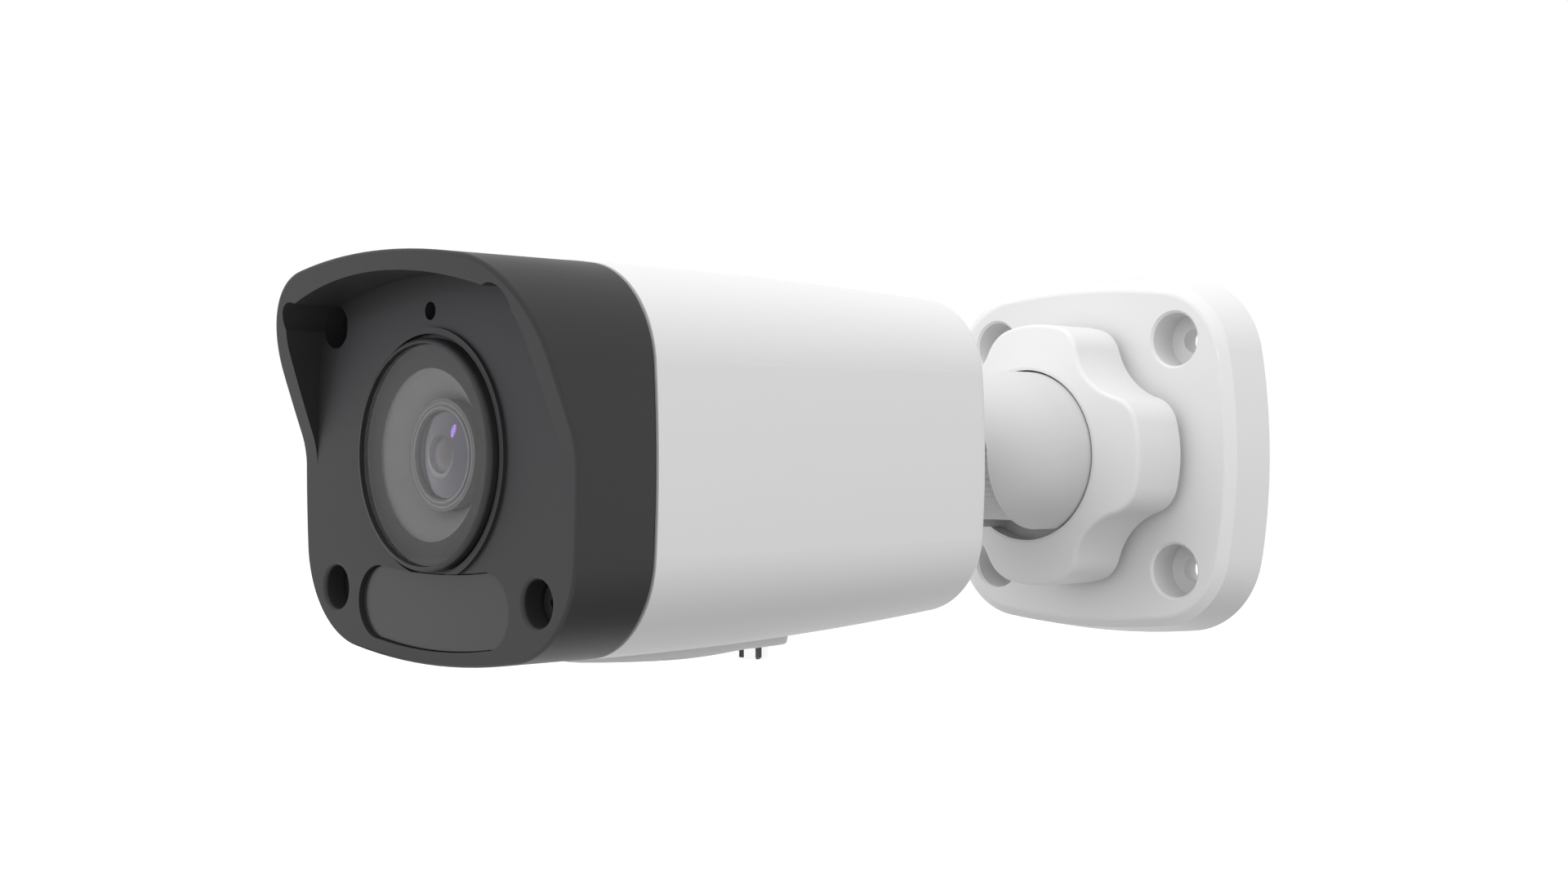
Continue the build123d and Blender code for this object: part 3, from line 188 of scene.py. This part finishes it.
# Black print lifted to a dark grey that stands in for part of the window's reflection: print and painted
# reflection.
PRINTED_BORDER_WITH_PAINTED_REFLECTION = Finish("print_and_painted_reflection", (0.045, 0.045, 0.045), roughness=0.6, colour_spread=0.05)
BLACK_RUBBER = Finish("black_rubber", (0.02, 0.02, 0.02), roughness=0.7, grain_size=0.4 * MM,
                      grain_height=0.01 * MM)
GREY_RUBBER = Finish("grey_rubber", (0.045, 0.045, 0.045), roughness=0.7, specular=0.3,
                     grain_size=0.4 * MM, grain_height=0.01 * MM)
BLACK_ANODISED = Finish("black_anodised", (0.08, 0.08, 0.083), roughness=0.35, metallic=0.3,
                        cloud_size=2.0 * MM)
# Pale grey for the beads on the lens rings and the crescent round the rear glass: painted highlight.
PAINTED_EDGE_HIGHLIGHT = Finish("painted_edge_highlight", (0.22, 0.22, 0.22), cloud_size=1.0 * MM, colour_spread=0.1)
GREY_STOP = Finish("grey_stop", (0.045, 0.047, 0.054), roughness=0.5, cloud_size=1.0 * MM,
                   colour_spread=0.1)
BLACK_RESIN = Finish("black_resin", (0.02, 0.02, 0.02), roughness=0.5)
GREEN_BOARD = Finish("green_board", (0.02, 0.12, 0.05), cloud_size=4.0 * MM, colour_spread=0.15)
BRIGHT_STEEL = Finish("bright_steel", (0.6, 0.6, 0.61), roughness=0.3, metallic=1.0, cloud_size=2.0 * MM)
DARK_STEEL = Finish("dark_steel", (0.16, 0.16, 0.165), roughness=0.35, metallic=1.0, cloud_size=2.0 * MM)
CHROME = Finish("chrome", (0.88, 0.88, 0.89), roughness=0.13, metallic=1.0, gloss_spread=0.02)
CAST_METAL = Finish("cast_metal", (0.55, 0.55, 0.56), roughness=0.5, metallic=1.0, grain_size=0.6 * MM,
                    grain_height=0.02 * MM)
LAMP_RESIN = Finish("lamp_resin", (0.8, 0.82, 0.85), roughness=0.1, transmission=0.6)
COATED_GLASS = Finish("coated_glass", (0.97, 0.98, 1.0), roughness=0.0, ior=1.32, transmission=1.0,
                      colour_spread=0.0, gloss_spread=0.0, tint=(0.62, 0.55, 0.9))
DEEP_GLASS = Finish("deep_glass", (0.04, 0.04, 0.044), roughness=0.05, gloss_spread=0.0,
                    tint=(1.0, 0.72, 0.42))


@dataclass(frozen=True)
class RoundFace:
    """The front of a round node that faces forward.

    Args:
        axis: the middle of the front.
        radius: the node's radius.
        depth: how far the node reaches back.
    """

    axis: Vector
    radius: float
    depth: float

    @classmethod
    def of(cls, node: str) -> RoundFace:
        """Measures a node.

        Args:
            node: the node's name.

        Returns:
            Its front.
        """
        low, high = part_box(node)
        middle = (low + high) / 2.0
        return cls(Vector((middle.x, low.y, middle.z)), (high.x - low.x) / 2.0, high.y - low.y)


def linked(name: str, mesh: bpy.types.Mesh) -> bpy.types.Object:
    """Puts a mesh into the scene.

    Args:
        name: the new piece's name.
        mesh: its mesh.

    Returns:
        The new piece.
    """
    piece = bpy.data.objects.new(name, mesh)
    bpy.context.scene.collection.objects.link(piece)
    return piece


def smooth(mesh: bpy.types.Mesh) -> None:
    """Shades a mesh smooth and keeps its edges sharp.

    Args:
        mesh: the mesh.
    """
    mesh.shade_smooth()
    mesh.set_sharp_from_angle(angle=SHARP_ANGLE)


def around(steps: int) -> list[float]:
    """Gives evenly spaced angles once round.

    Args:
        steps: how many there are.

    Returns:
        The angles in radians, from 0.
    """
    return [2.0 * math.pi * i / steps for i in range(steps)]


def turned(name: str, profile: list[Point], axis: Vector, steps: int = 96) -> bpy.types.Object:
    """Turns a closed profile about a line along Y.

    Args:
        name: the new piece's name.
        profile: radius and distance behind the axis point, in metres, once round the profile.
        axis: a point of the line.
        steps: how many steps the full turn has.

    Returns:
        The turned piece, with smooth sides and sharp edges.
    """
    shape = bmesh.new()
    rings = []
    for radius, depth in profile:
        angles = around(steps if radius > 0.0 else 1)
        places = [axis + Vector((radius * math.cos(a), depth, radius * math.sin(a))) for a in angles]
        rings.append([shape.verts.new(place) for place in places])
    for ring, following in zip(rings, rings[1:] + rings[:1]):
        for i in range(steps):
            corners = (ring[i % len(ring)], ring[(i + 1) % len(ring)],
                       following[(i + 1) % len(following)], following[i % len(following)])
            face = list(dict.fromkeys(corners))
            if len(face) > 2:
                shape.faces.new(face)
    bmesh.ops.recalc_face_normals(shape, faces=shape.faces)
    mesh = bpy.data.meshes.new(name)
    shape.to_mesh(mesh)
    shape.free()
    smooth(mesh)
    return linked(name, mesh)


def dome(radius: float, rise: float, depth: float, steps: int = 12) -> list[Point]:
    """Gives a round cap's profile from its edge to its middle.

    Args:
        radius: the cap's edge radius.
        rise: how far the middle stands in front of the edge.
        depth: the edge's distance behind the axis point.
        steps: how many steps the arc has.

    Returns:
        Points of radius and depth.
    """
    ball = (radius * radius + rise * rise) / (2.0 * rise)
    reach = math.asin(radius / ball)
    angles = [reach * (1.0 - i / steps) for i in range(steps + 1)]
    return [(ball * math.sin(a), depth - rise + ball * (1.0 - math.cos(a))) for a in angles]


def bead(radius: float, depth: float, thickness: float, steps: int = 10) -> list[Point]:
    """Gives the round profile of a thin ring.

    Args:
        radius: the ring's middle radius.
        depth: its distance behind the axis point.
        thickness: radius of the bead itself.
        steps: how many steps the bead has.

    Returns:
        Points of radius and depth, once round.
    """
    return [(radius + thickness * math.cos(a), depth + thickness * math.sin(a)) for a in around(steps)]


def band(inner: float, outer: float, near: float, far: float) -> list[Point]:
    """Gives the square profile of a ring.

    Args:
        inner: the ring's inner radius.
        outer: its outer radius.
        near: its front's distance behind the axis point.
        far: its back's distance behind the axis point.

    Returns:
        Points of radius and depth, once round.
    """
    return [(inner, near), (inner, far), (outer, far), (outer, near)]


@dataclass
class SubAssembly:
    """A group of the frame's nodes that work together, with the finishes they wear."""

    finishes: ClassVar[dict[str, Finish]] = {}

    def build(self) -> None:
        """Makes the pieces that the frame leaves to the scene; here none."""

    def dress(self) -> None:
        """Gives every node of the group its finish."""
        for name, finish in self.finishes.items():
            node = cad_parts[name]
            node.data.materials.clear()
            node.data.materials.append(finish.material())
            LOG.info("dressed %s with %s", name, finish.name)

    @staticmethod
    def place(piece: bpy.types.Object, finish: Finish, slot: Slot) -> None:
        """Finishes a new piece and ties it to the camera's body.

        Args:
            piece: the new piece.
            finish: what it wears.
            slot: not used.
        """
        piece.data.materials.append(finish.material())
        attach(piece, CAMERA_BODY)
        LOG.info("placed %s with %s", piece.name, finish.name)


@dataclass
class Bracket(SubAssembly):
    """Wall plate, locking ring, turret and tilt arm."""

    finishes: ClassVar[dict[str, Finish]] = {
        "wall_plate": WHITE_COAT,
        "friction_washer": BLACK_RUBBER,
        "locking_ring": WHITE_COAT,
        # The turret and tilt arm wear the darker white, which is painted shade.
        "turret_dome": WHITE_WITH_PAINTED_SHADE,
        "tilt_pins": BRIGHT_STEEL,
        "tilt_arm": WHITE_WITH_PAINTED_SHADE,
        "roll_nut": BRIGHT_STEEL,
        "roll_seal": BLACK_RUBBER,
        "cable_grommet": BLACK_RUBBER,
    }


@dataclass
class Shell(SubAssembly):
    """White body with the service cover under it.

    Args:
        tail_reach: length of the cover's tail that hangs lower than its solid.
        tail_drop: how much lower the tail's end hangs.
        tail_depth: height of the tail's sides, over which the drop fades out upwards.
        tail_slant: how far the foot of the tail's end stands back.
        tail_bend: how closely the slant keeps to the tail's end, as a power.
    """

    tail_reach: float = 15.0 * MM
    tail_drop: float = 1.1 * MM
    tail_depth: float = 1.35 * MM
    tail_slant: float = 1.6 * MM
    tail_bend: int = 6

    finishes: ClassVar[dict[str, Finish]] = {
        "housing": WHITE_COAT,
        "service_cover": WHITE_COAT,
        "cover_gasket": BLACK_RUBBER,
        "cover_screw": CHROME,
    }

    def build(self) -> None:
        """Makes the service cover with its full tail, in place of the plainer solid."""
        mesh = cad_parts["service_cover"].data.copy()
        mesh.name = "service_cover_full"
        self._lower_tail(mesh)
        normals = mesh.attributes.get("custom_normal")
        if normals is not None:
            mesh.attributes.remove(normals)
        smooth(mesh)
        mesh.materials.clear()
        cover = linked("service_cover_full", mesh)
        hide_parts("service_cover")
        self.place(cover, WHITE_COAT, Slot.WHITE_PAINT)

    def _lower_tail(self, mesh: bpy.types.Mesh) -> None:
        """Lowers the tail of the cover's copy and slants its end.

        Args:
            mesh: the copy's mesh.
        """
        tail_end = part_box("service_cover")[1].y
        tail_foot = min(v.co.z for v in mesh.vertices if v.co.y > tail_end - self.tail_depth)
        for vertex in mesh.vertices:
            along = min(max(1.0 - (tail_end - vertex.co.y) / self.tail_reach, 0.0), 1.0)
            below = min(max(1.0 + (tail_foot - vertex.co.z) / self.tail_depth, 0.0), 1.0)
            vertex.co.z -= self.tail_drop * along * below
            vertex.co.y -= self.tail_slant * along**self.tail_bend * below


@dataclass
class FrontFace(SubAssembly):
    """Dark face with its visor, round window and infrared panel.

    Args:
        border_radius: inner radius of the printed border behind the window.
        border_lap: how far the border reaches into the glass, so that the two faces stay apart.
    """

    border_radius: float = 12.2 * MM
    border_lap: float = 0.02 * MM

    finishes: ClassVar[dict[str, Finish]] = {
        "front_bezel": DARK_MOULDING,
        "bezel_gasket": BLACK_RUBBER,
        "bezel_screws": DARK_STEEL,
        "window_glass": WINDOW_GLASS,
        "window_mask": PRINTED_BORDER_WITH_PAINTED_REFLECTION,
        "window_gasket": BLACK_RUBBER,
        "ir_window": SMOKED_PANEL,
        "microphone": BRIGHT_STEEL,
        "mic_seal": BLACK_RUBBER,
    }

    def build(self) -> None:
        """Makes the printed border, whose grey carries painted reflection, a hair inside the window's
        back, in place of the solid one.
        """
        mask = RoundFace.of("window_mask")
        ring = band(self.border_radius, mask.radius, -self.border_lap, mask.depth)
        border = turned("window_border", ring, mask.axis)
        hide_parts("window_mask")
        # The border's dark grey is print with painted reflection.
        self.place(border, PRINTED_BORDER_WITH_PAINTED_REFLECTION, Slot.BLACK_PRINT)


@dataclass
class LensGroup(SubAssembly):
    """Board lens behind the window: barrel, glasses, stop, and pale beads and a crescent of painted
    highlight on its rings.

    Args:
        front_radius: radius of the barrel's front ring.
        ring_radius: middle radius of the pale bead of painted highlight on the trim ring.
        seat_radius: middle radius of the pale bead of painted highlight on the barrel's front ring.
        edge_thickness: radius of the pale beads of painted highlight.
        head_reach: how far the trim ring stands out beyond the barrel's head.
        head_depth: how far the trim ring's front lies behind the barrel's front.
        head_step: depth of the step that the trim ring lies on.
        head_gap: space between the trim ring and the barrel.
        glass_rise: how far the front glass bulges.
        glass_wall: thickness of the front glass.
        glass_gap: space between the front glass and what lies behind it.
        stop_radius: radius of the opening that the stop leaves.
        stop_depth: how far the opening's edge lies behind the front glass's middle.
        rear_rise: how far the rear glass bulges forward.
        gleam_width: half the width of the painted highlight crescent round the rear glass, at its lowest
            place.
        gleam_height: how far that crescent stands out there.
        gleam_least: share that sets how thin that crescent is at its highest place.
    """

    front_radius: float = 6.95 * MM
    ring_radius: float = 7.35 * MM
    seat_radius: float = 6.7 * MM
    edge_thickness: float = 0.13 * MM
    head_reach: float = 0.35 * MM
    head_depth: float = 0.1 * MM
    head_step: float = 0.7 * MM
    head_gap: float = 0.02 * MM
    glass_rise: float = 1.0 * MM
    glass_wall: float = 0.25 * MM
    glass_gap: float = 0.12 * MM
    stop_radius: float = 2.9 * MM
    stop_depth: float = 0.65 * MM
    rear_rise: float = 1.0 * MM
    gleam_width: float = 0.3 * MM
    gleam_height: float = 0.08 * MM
    gleam_least: float = 0.05

    finishes: ClassVar[dict[str, Finish]] = {
        "lens_shroud": GREY_RUBBER,
        "lens_barrel": BLACK_ANODISED,
        "lens_front_element": COATED_GLASS,
        "lens_holder": BLACK_RESIN,
        "image_sensor": BLACK_RESIN,
    }

    def build(self) -> None:
        """Makes the trim ring, the pale beads and crescent of painted highlight, the glasses and the stop.
        """
        barrel = RoundFace.of("lens_barrel")
        self._trim_ring(barrel)
        self._painted_edge_highlights(barrel)
        element = RoundFace.of("lens_front_element")
        self._front_glass(element)
        self._stop(element)
        self._rear_glass(element)
        self._rear_painted_highlight(element)

    def _trim_ring(self, barrel: RoundFace) -> None:
        """Makes the trim ring round the barrel's head.

        Args:
            barrel: the barrel's front.
        """
        inner = self.front_radius + self.head_gap
        outer = barrel.radius + self.head_reach
        ring = band(inner, outer, self.head_depth, self.head_step - self.head_gap)
        trim = turned("lens_head_ring", ring, barrel.axis)
        self.place(trim, BLACK_ANODISED, Slot.BLACK_METAL)

    def _painted_edge_highlights(self, barrel: RoundFace) -> None:
        """Makes the pale beads on the edges of the trim ring and of the barrel's front ring, which are
        painted highlights.

        Args:
            barrel: the barrel's front.
        """
        edges = (
            ("lens_front_edge", self.ring_radius, self.head_depth),
            ("lens_seat_edge", self.seat_radius, 0.0),
        )
        for name, radius, level in edges:
            edge = turned(name, bead(radius, level, self.edge_thickness), barrel.axis)
            # The pale bead is a painted highlight.
            self.place(edge, PAINTED_EDGE_HIGHLIGHT, Slot.BLACK_METAL)

    def _front_glass(self, element: RoundFace) -> None:
        """Makes the hollow front glass, in place of the solid one.

        Args:
            element: the front of the solid one.
        """
        outside = dome(element.radius, self.glass_rise, self.glass_rise)
        inside = dome(element.radius, self.glass_rise, self.glass_rise + self.glass_wall)
        glass = turned("lens_front_glass", outside + inside[::-1], element.axis)
        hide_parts("lens_front_element")
        self.place(glass, COATED_GLASS, Slot.CLEAR_GLASS)

    def _stop(self, element: RoundFace) -> None:
        """Makes the stop, a funnel close behind the front glass.

        Args:
            element: the front of the solid glass.
        """
        rim_depth = self.glass_rise + self.glass_wall + self.glass_gap
        funnel = [
            (element.radius, rim_depth),
            (self.stop_radius, self.stop_depth),
            (self.stop_radius, element.depth),
            (element.radius, element.depth),
        ]
        self.place(turned("lens_stop", funnel, element.axis), GREY_STOP, Slot.BLACK_METAL)

    def _rear_glass(self, element: RoundFace) -> None:
        """Makes the rear glass in the stop's opening.

        Args:
            element: the front of the solid glass.
        """
        radius = self.stop_radius - self.glass_gap
        cap = dome(radius, self.rear_rise, self.glass_wall + self.glass_gap + self.rear_rise)
        back = [(0.0, element.depth), (radius, element.depth)]
        glass = turned("lens_rear_glass", cap + back, element.axis)
        self.place(glass, DEEP_GLASS, Slot.CLEAR_GLASS)

    def _rear_painted_highlight(self, element: RoundFace) -> None:
        """Makes the pale crescent round the rear glass, wide below and thin above, which is a painted
        highlight.

        Args:
            element: the front of the solid glass.
        """
        inner = self.stop_radius - self.gleam_width
        outer = self.stop_radius + self.gleam_width
        ring = band(inner, outer, self.stop_depth - self.gleam_height, self.stop_depth + self.gleam_height)
        edge = turned("lens_rear_painted_highlight", ring, element.axis)
        for vertex in edge.data.vertices:
            out = vertex.co - element.axis
            out.y = 0.0
            share = max(self.gleam_least, 0.5 - 0.5 * out.z / out.length) ** 2
            seat = element.axis + out.normalized() * self.stop_radius + Vector((0.0, self.stop_depth, 0.0))
            vertex.co = seat.lerp(vertex.co, share)
        # The pale crescent, wide below, is a painted highlight.
        self.place(edge, PAINTED_EDGE_HIGHLIGHT, Slot.BLACK_METAL)


@dataclass
class Electronics(SubAssembly):
    """Boards, lamps and the frame that carries them inside the body."""

    finishes: ClassVar[dict[str, Finish]] = {
        "chassis": CAST_METAL,
        "chassis_screws": BRIGHT_STEEL,
        "sensor_board": GREEN_BOARD,
        "sensor_board_screws": BRIGHT_STEEL,
        "ir_board": GREEN_BOARD,
        "ir_board_screws": BRIGHT_STEEL,
        "ir_leds": LAMP_RESIN,
        "main_board": GREEN_BOARD,
        "main_board_screws": BRIGHT_STEEL,
        "processor": BLACK_RESIN,
        "heat_pad": GREY_RUBBER,
        "card_slot": BRIGHT_STEEL,
    }


@dataclass(frozen=True)
class DarkCard:
    """A small dark card under the object, seen only in the cover screw's gloss.

    Args:
        name: the card's name.
        turn: direction from the cover screw to it on the floor plan, in degrees from +X.
        width: its width.
    """

    name: str
    turn: float
    width: float


@dataclass
class Studio:
    """Camera, soft light, pale floor, white surround, dark cards and the lamp that glints in the lens.

    Args:
        eye: the camera's place.
        look: the camera's direction.
        lens: focal length in millimetres.
        sensor: width of the camera's sensor in millimetres.
        shift: upward shift of the picture, as a share of its width.
        nearest: distance from which the camera sees.
        floor_z: height of the floor.
        floor_half: half the floor's width.
        floor_colour: how pale the floor is under the light.
        floor_roughness: how dull the floor is.
        floor_glow: what is added to the floor where it is seen, so that it shows white.
        sky_top: light from straight above.
        sky_side: light from the sides.
        sky_under: light from straight below.
        sky_front: how much more light comes from the front than from the sides, as a share.
        lamp_power: power of the overhead lamp, in watts.
        lamp_size: width of the overhead lamp.
        lamp_place: where the overhead lamp hangs.
        lamp_aim: where it points.
        card_colour: how dark the cards are.
        card_gap: distance of the dark cards from the cover screw.
        card_low: height of the dark cards' lower edge.
        card_top: height of their upper edge.
        cards: the dark cards.
        under_place: where the dark sheet lies on the floor, seen only in gloss.
        under_width: width of that sheet.
        under_lift: its height over the floor.
        glint_place: where the small lamp hangs that glints in the lens.
        glint_width: its width.
        glint_height: its height.
        glint_sides: how many sides its oval has.
        glint_colour: its colour, linear red, green and blue.
        glint_strength: its brightness.
    """

    eye: Triple = (0.24528, -0.32213, 0.0)
    look: Triple = (-0.722686, 0.691193, 0.0)
    lens: float = 47.867
    sensor: float = 36.0
    shift: float = 0.008984
    nearest: float = 10.0 * MM
    floor_z: float = -0.25
    floor_half: float = 4.0
    floor_colour: float = 0.33
    floor_roughness: float = 0.9
    floor_glow: float = 0.7
    sky_top: float = 1.49
    sky_side: float = 1.03
    sky_under: float = 0.53
    sky_front: float = 0.52
    lamp_power: float = 1.0
    lamp_size: float = 1.2
    lamp_place: Triple = (0.2, -0.3, 1.0)
    lamp_aim: Triple = (0.0, -0.1, 0.0)
    card_colour: float = 0.01
    card_gap: float = 0.07
    card_low: float = -0.042
    card_top: float = -0.034
    cards: tuple[DarkCard, ...] = (
        DarkCard("card_left", 224.0, 0.0685),
        DarkCard("card_right", 1.6, 0.064),
    )
    under_place: Point = (0.15, 0.1)
    under_width: float = 0.29
    under_lift: float = 1.0 * MM
    glint_place: Triple = (-0.49, -0.755, 0.2)
    glint_width: float = 0.07
    glint_height: float = 0.115
    glint_sides: int = 24
    glint_colour: Triple = (0.62, 0.36, 1.0)
    glint_strength: float = 15.0

    def build(self) -> None:
        """Makes the whole studio."""
        scene = bpy.context.scene
        scene.view_settings.view_transform = "Standard"
        self._camera(scene)
        self._world(scene)
        self._floor()
        self._lamp(scene)
        black = self._black()
        for card in self.cards:
            self._card(card, black)
        self._under_sheet(black)
        self._glint()

    def _camera(self, scene: bpy.types.Scene) -> None:
        """Places the camera at the photograph's viewpoint.

        Args:
            scene: the scene that the camera shows.
        """
        data = bpy.data.cameras.new("view")
        data.lens = self.lens
        data.sensor_width = self.sensor
        data.shift_y = self.shift
        data.clip_start = self.nearest
        camera = bpy.data.objects.new("view", data)
        camera.location = self.eye
        camera.rotation_euler = Vector(self.look).to_track_quat("-Z", "Y").to_euler()
        scene.collection.objects.link(camera)
        scene.camera = camera

    def _world(self, scene: bpy.types.Scene) -> None:
        """White surround for what the camera and gloss see, and a soft sky for the light on the object.

        Args:
            scene: the scene that the world lights.
        """
        world = bpy.data.worlds.new("studio")
        world.use_nodes = True
        tree = world.node_tree
        white = tree.nodes.new("ShaderNodeBackground")
        white.inputs["Color"].default_value = (1.0, 1.0, 1.0, 1.0)
        mix = tree.nodes.new("ShaderNodeMixShader")
        tree.links.new(self._seen_directly(tree), mix.inputs["Fac"])
        tree.links.new(self._sky(tree), mix.inputs[1])
        tree.links.new(white.outputs["Background"], mix.inputs[2])
        tree.links.new(mix.outputs["Shader"], tree.nodes["World Output"].inputs["Surface"])
        scene.world = world

    def _sky(self, tree: bpy.types.NodeTree) -> bpy.types.NodeSocket:
        """Makes the soft sky, brighter above and in front than below and behind.

        Args:
            tree: the world's node tree.

        Returns:
            The sky's socket.
        """
        sky = tree.nodes["Background"]
        place = tree.nodes.new("ShaderNodeTexCoord")
        split = tree.nodes.new("ShaderNodeSeparateXYZ")
        tree.links.new(place.outputs["Generated"], split.inputs["Vector"])
        height = tree.nodes.new("ShaderNodeMapRange")
        height.inputs["From Min"].default_value = -1.0
        tree.links.new(split.outputs["Z"], height.inputs["Value"])
        ramp = tree.nodes.new("ShaderNodeValToRGB")
        levels = ramp.color_ramp.elements
        levels[0].color = (*[self.sky_under / self.sky_top] * 3, 1.0)
        levels[1].color = (1.0, 1.0, 1.0, 1.0)
        levels.new(0.5).color = (*[self.sky_side / self.sky_top] * 3, 1.0)
        tree.links.new(height.outputs["Result"], ramp.inputs["Fac"])
        tree.links.new(ramp.outputs["Color"], sky.inputs["Color"])
        turn = tree.nodes.new("ShaderNodeMapRange")
        turn.inputs["From Min"].default_value = -1.0
        turn.inputs["To Min"].default_value = self.sky_top * (1.0 + self.sky_front)
        turn.inputs["To Max"].default_value = self.sky_top * (1.0 - self.sky_front)
        tree.links.new(split.outputs["Y"], turn.inputs["Value"])
        tree.links.new(turn.outputs["Result"], sky.inputs["Strength"])
        return sky.outputs["Background"]

    @staticmethod
    def _seen_directly(tree: bpy.types.NodeTree) -> bpy.types.NodeSocket:
        """Joins the light paths that show the surround itself.

        Args:
            tree: the node tree to add to.

        Returns:
            A socket that is 1 for camera, glossy and transmitted rays.
        """
        path = tree.nodes.new("ShaderNodeLightPath")
        seen = path.outputs["Is Camera Ray"]
        for kind in ("Is Glossy Ray", "Is Transmission Ray"):
            either = tree.nodes.new("ShaderNodeMath")
            either.operation = "MAXIMUM"
            tree.links.new(seen, either.inputs[0])
            tree.links.new(path.outputs[kind], either.inputs[1])
            seen = either.outputs["Value"]
        return seen

    @staticmethod
    def _sheet(name: str, corners: list[Vector], material: bpy.types.Material) -> bpy.types.Object:
        """Makes a flat piece of the stage.

        Args:
            name: its name.
            corners: its corners in order.
            material: what it wears.

        Returns:
            The new piece.
        """
        mesh = bpy.data.meshes.new(name)
        mesh.from_pydata(corners, [], [tuple(range(len(corners)))])
        mesh.materials.append(material)
        sheet = linked(name, mesh)
        return sheet

    @staticmethod
    def _square(middle: Vector, half: float) -> list[Vector]:
        """Gives the corners of a level square.

        Args:
            middle: its middle.
            half: half its width.

        Returns:
            The corners in order.
        """
        signs = ((-1, -1), (1, -1), (1, 1), (-1, 1))
        return [middle + Vector((x * half, y * half, 0.0)) for x, y in signs]

    def _floor(self) -> None:
        """A pale floor that shows white but keeps the object's soft shadow."""
        made = bpy.data.materials.new("pale_floor")
        made.use_nodes = True
        tree = made.node_tree
        shader = tree.nodes["Principled BSDF"]
        shader.inputs["Base Color"].default_value = (*[self.floor_colour] * 3, 1.0)
        shader.inputs["Roughness"].default_value = self.floor_roughness
        glow = tree.nodes.new("ShaderNodeEmission")
        lift = tree.nodes.new("ShaderNodeMath")
        lift.operation = "MULTIPLY"
        lift.inputs[1].default_value = self.floor_glow
        tree.links.new(self._seen_directly(tree), lift.inputs[0])
        tree.links.new(lift.outputs["Value"], glow.inputs["Strength"])
        both = tree.nodes.new("ShaderNodeAddShader")
        tree.links.new(shader.outputs["BSDF"], both.inputs[0])
        tree.links.new(glow.outputs["Emission"], both.inputs[1])
        tree.links.new(both.outputs["Shader"], tree.nodes["Material Output"].inputs["Surface"])
        self._sheet("floor", self._square(UP * self.floor_z, self.floor_half), made)

    def _lamp(self, scene: bpy.types.Scene) -> None:
        """Hangs one broad soft lamp overhead.

        Args:
            scene: the scene that it lights.
        """
        data = bpy.data.lights.new("overhead", "AREA")
        data.shape = "RECTANGLE"
        data.size = self.lamp_size
        data.size_y = self.lamp_size
        data.energy = self.lamp_power
        lamp = bpy.data.objects.new("overhead", data)
        lamp.location = self.lamp_place
        lamp.rotation_euler = (Vector(self.lamp_aim) - lamp.location).to_track_quat("-Z", "Y").to_euler()
        scene.collection.objects.link(lamp)

    def _black(self) -> bpy.types.Material:
        """Makes the dark cards' black.

        Returns:
            The material.
        """
        made = bpy.data.materials.new("dark_card")
        made.use_nodes = True
        shader = made.node_tree.nodes["Principled BSDF"]
        shader.inputs["Base Color"].default_value = (*[self.card_colour] * 3, 1.0)
        return made

    @staticmethod
    def _gloss_only(sheet: bpy.types.Object) -> None:
        """Keeps a sheet out of sight except in reflections.

        Args:
            sheet: the sheet.
        """
        sheet.visible_camera = False
        sheet.visible_diffuse = False
        sheet.visible_shadow = False

    def _card(self, card: DarkCard, black: bpy.types.Material) -> None:
        """Hangs one dark card beside the cover screw, facing it.

        Args:
            card: which card.
            black: what it wears.
        """
        low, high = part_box("cover_screw")
        turn = math.radians(card.turn)
        facing = Vector((math.cos(turn), math.sin(turn), 0.0))
        foot = (low + high) / 2.0 + facing * self.card_gap
        foot.z = self.card_low
        across = facing.cross(UP) * card.width / 2.0
        rise = UP * (self.card_top - self.card_low)
        corners = [foot - across, foot + across, foot + across + rise, foot - across + rise]
        self._gloss_only(self._sheet(card.name, corners, black))

    def _under_sheet(self, black: bpy.types.Material) -> None:
        """Lays a dark sheet on the floor beside the object, which shades the low flank's gloss.

        Args:
            black: what it wears.
        """
        middle = Vector((*self.under_place, self.floor_z + self.under_lift))
        corners = self._square(middle, self.under_width / 2.0)
        self._gloss_only(self._sheet("under_sheet", corners, black))

    def _glint(self) -> None:
        """Hangs a small oval lamp that glints in the curved glasses of the lens."""
        made = bpy.data.materials.new("glint")
        made.use_nodes = True
        shader = made.node_tree.nodes["Principled BSDF"]
        shader.inputs["Base Color"].default_value = (0.0, 0.0, 0.0, 1.0)
        shader.inputs["Emission Color"].default_value = (*self.glint_colour, 1.0)
        shader.inputs["Emission Strength"].default_value = self.glint_strength
        low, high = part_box("lens_front_element")
        middle = Vector(self.glint_place)
        facing = (low + high) / 2.0 - middle
        across = facing.cross(UP).normalized() * self.glint_width / 2.0
        rise = UP * self.glint_height / 2.0
        angles = around(self.glint_sides)
        corners = [middle + across * math.cos(a) + rise * math.sin(a) for a in angles]
        self._gloss_only(self._sheet("glint_card", corners, made))


def main() -> None:
    """Builds the studio, then builds and dresses each sub-assembly."""
    logging.basicConfig(level=logging.INFO, format="%(name)s: %(message)s")
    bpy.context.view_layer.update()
    Studio().build()
    for group in (Bracket(), Shell(), FrontFace(), LensGroup(), Electronics()):
        group.build()
        group.dress()


if __name__ == "__main__":
    main()
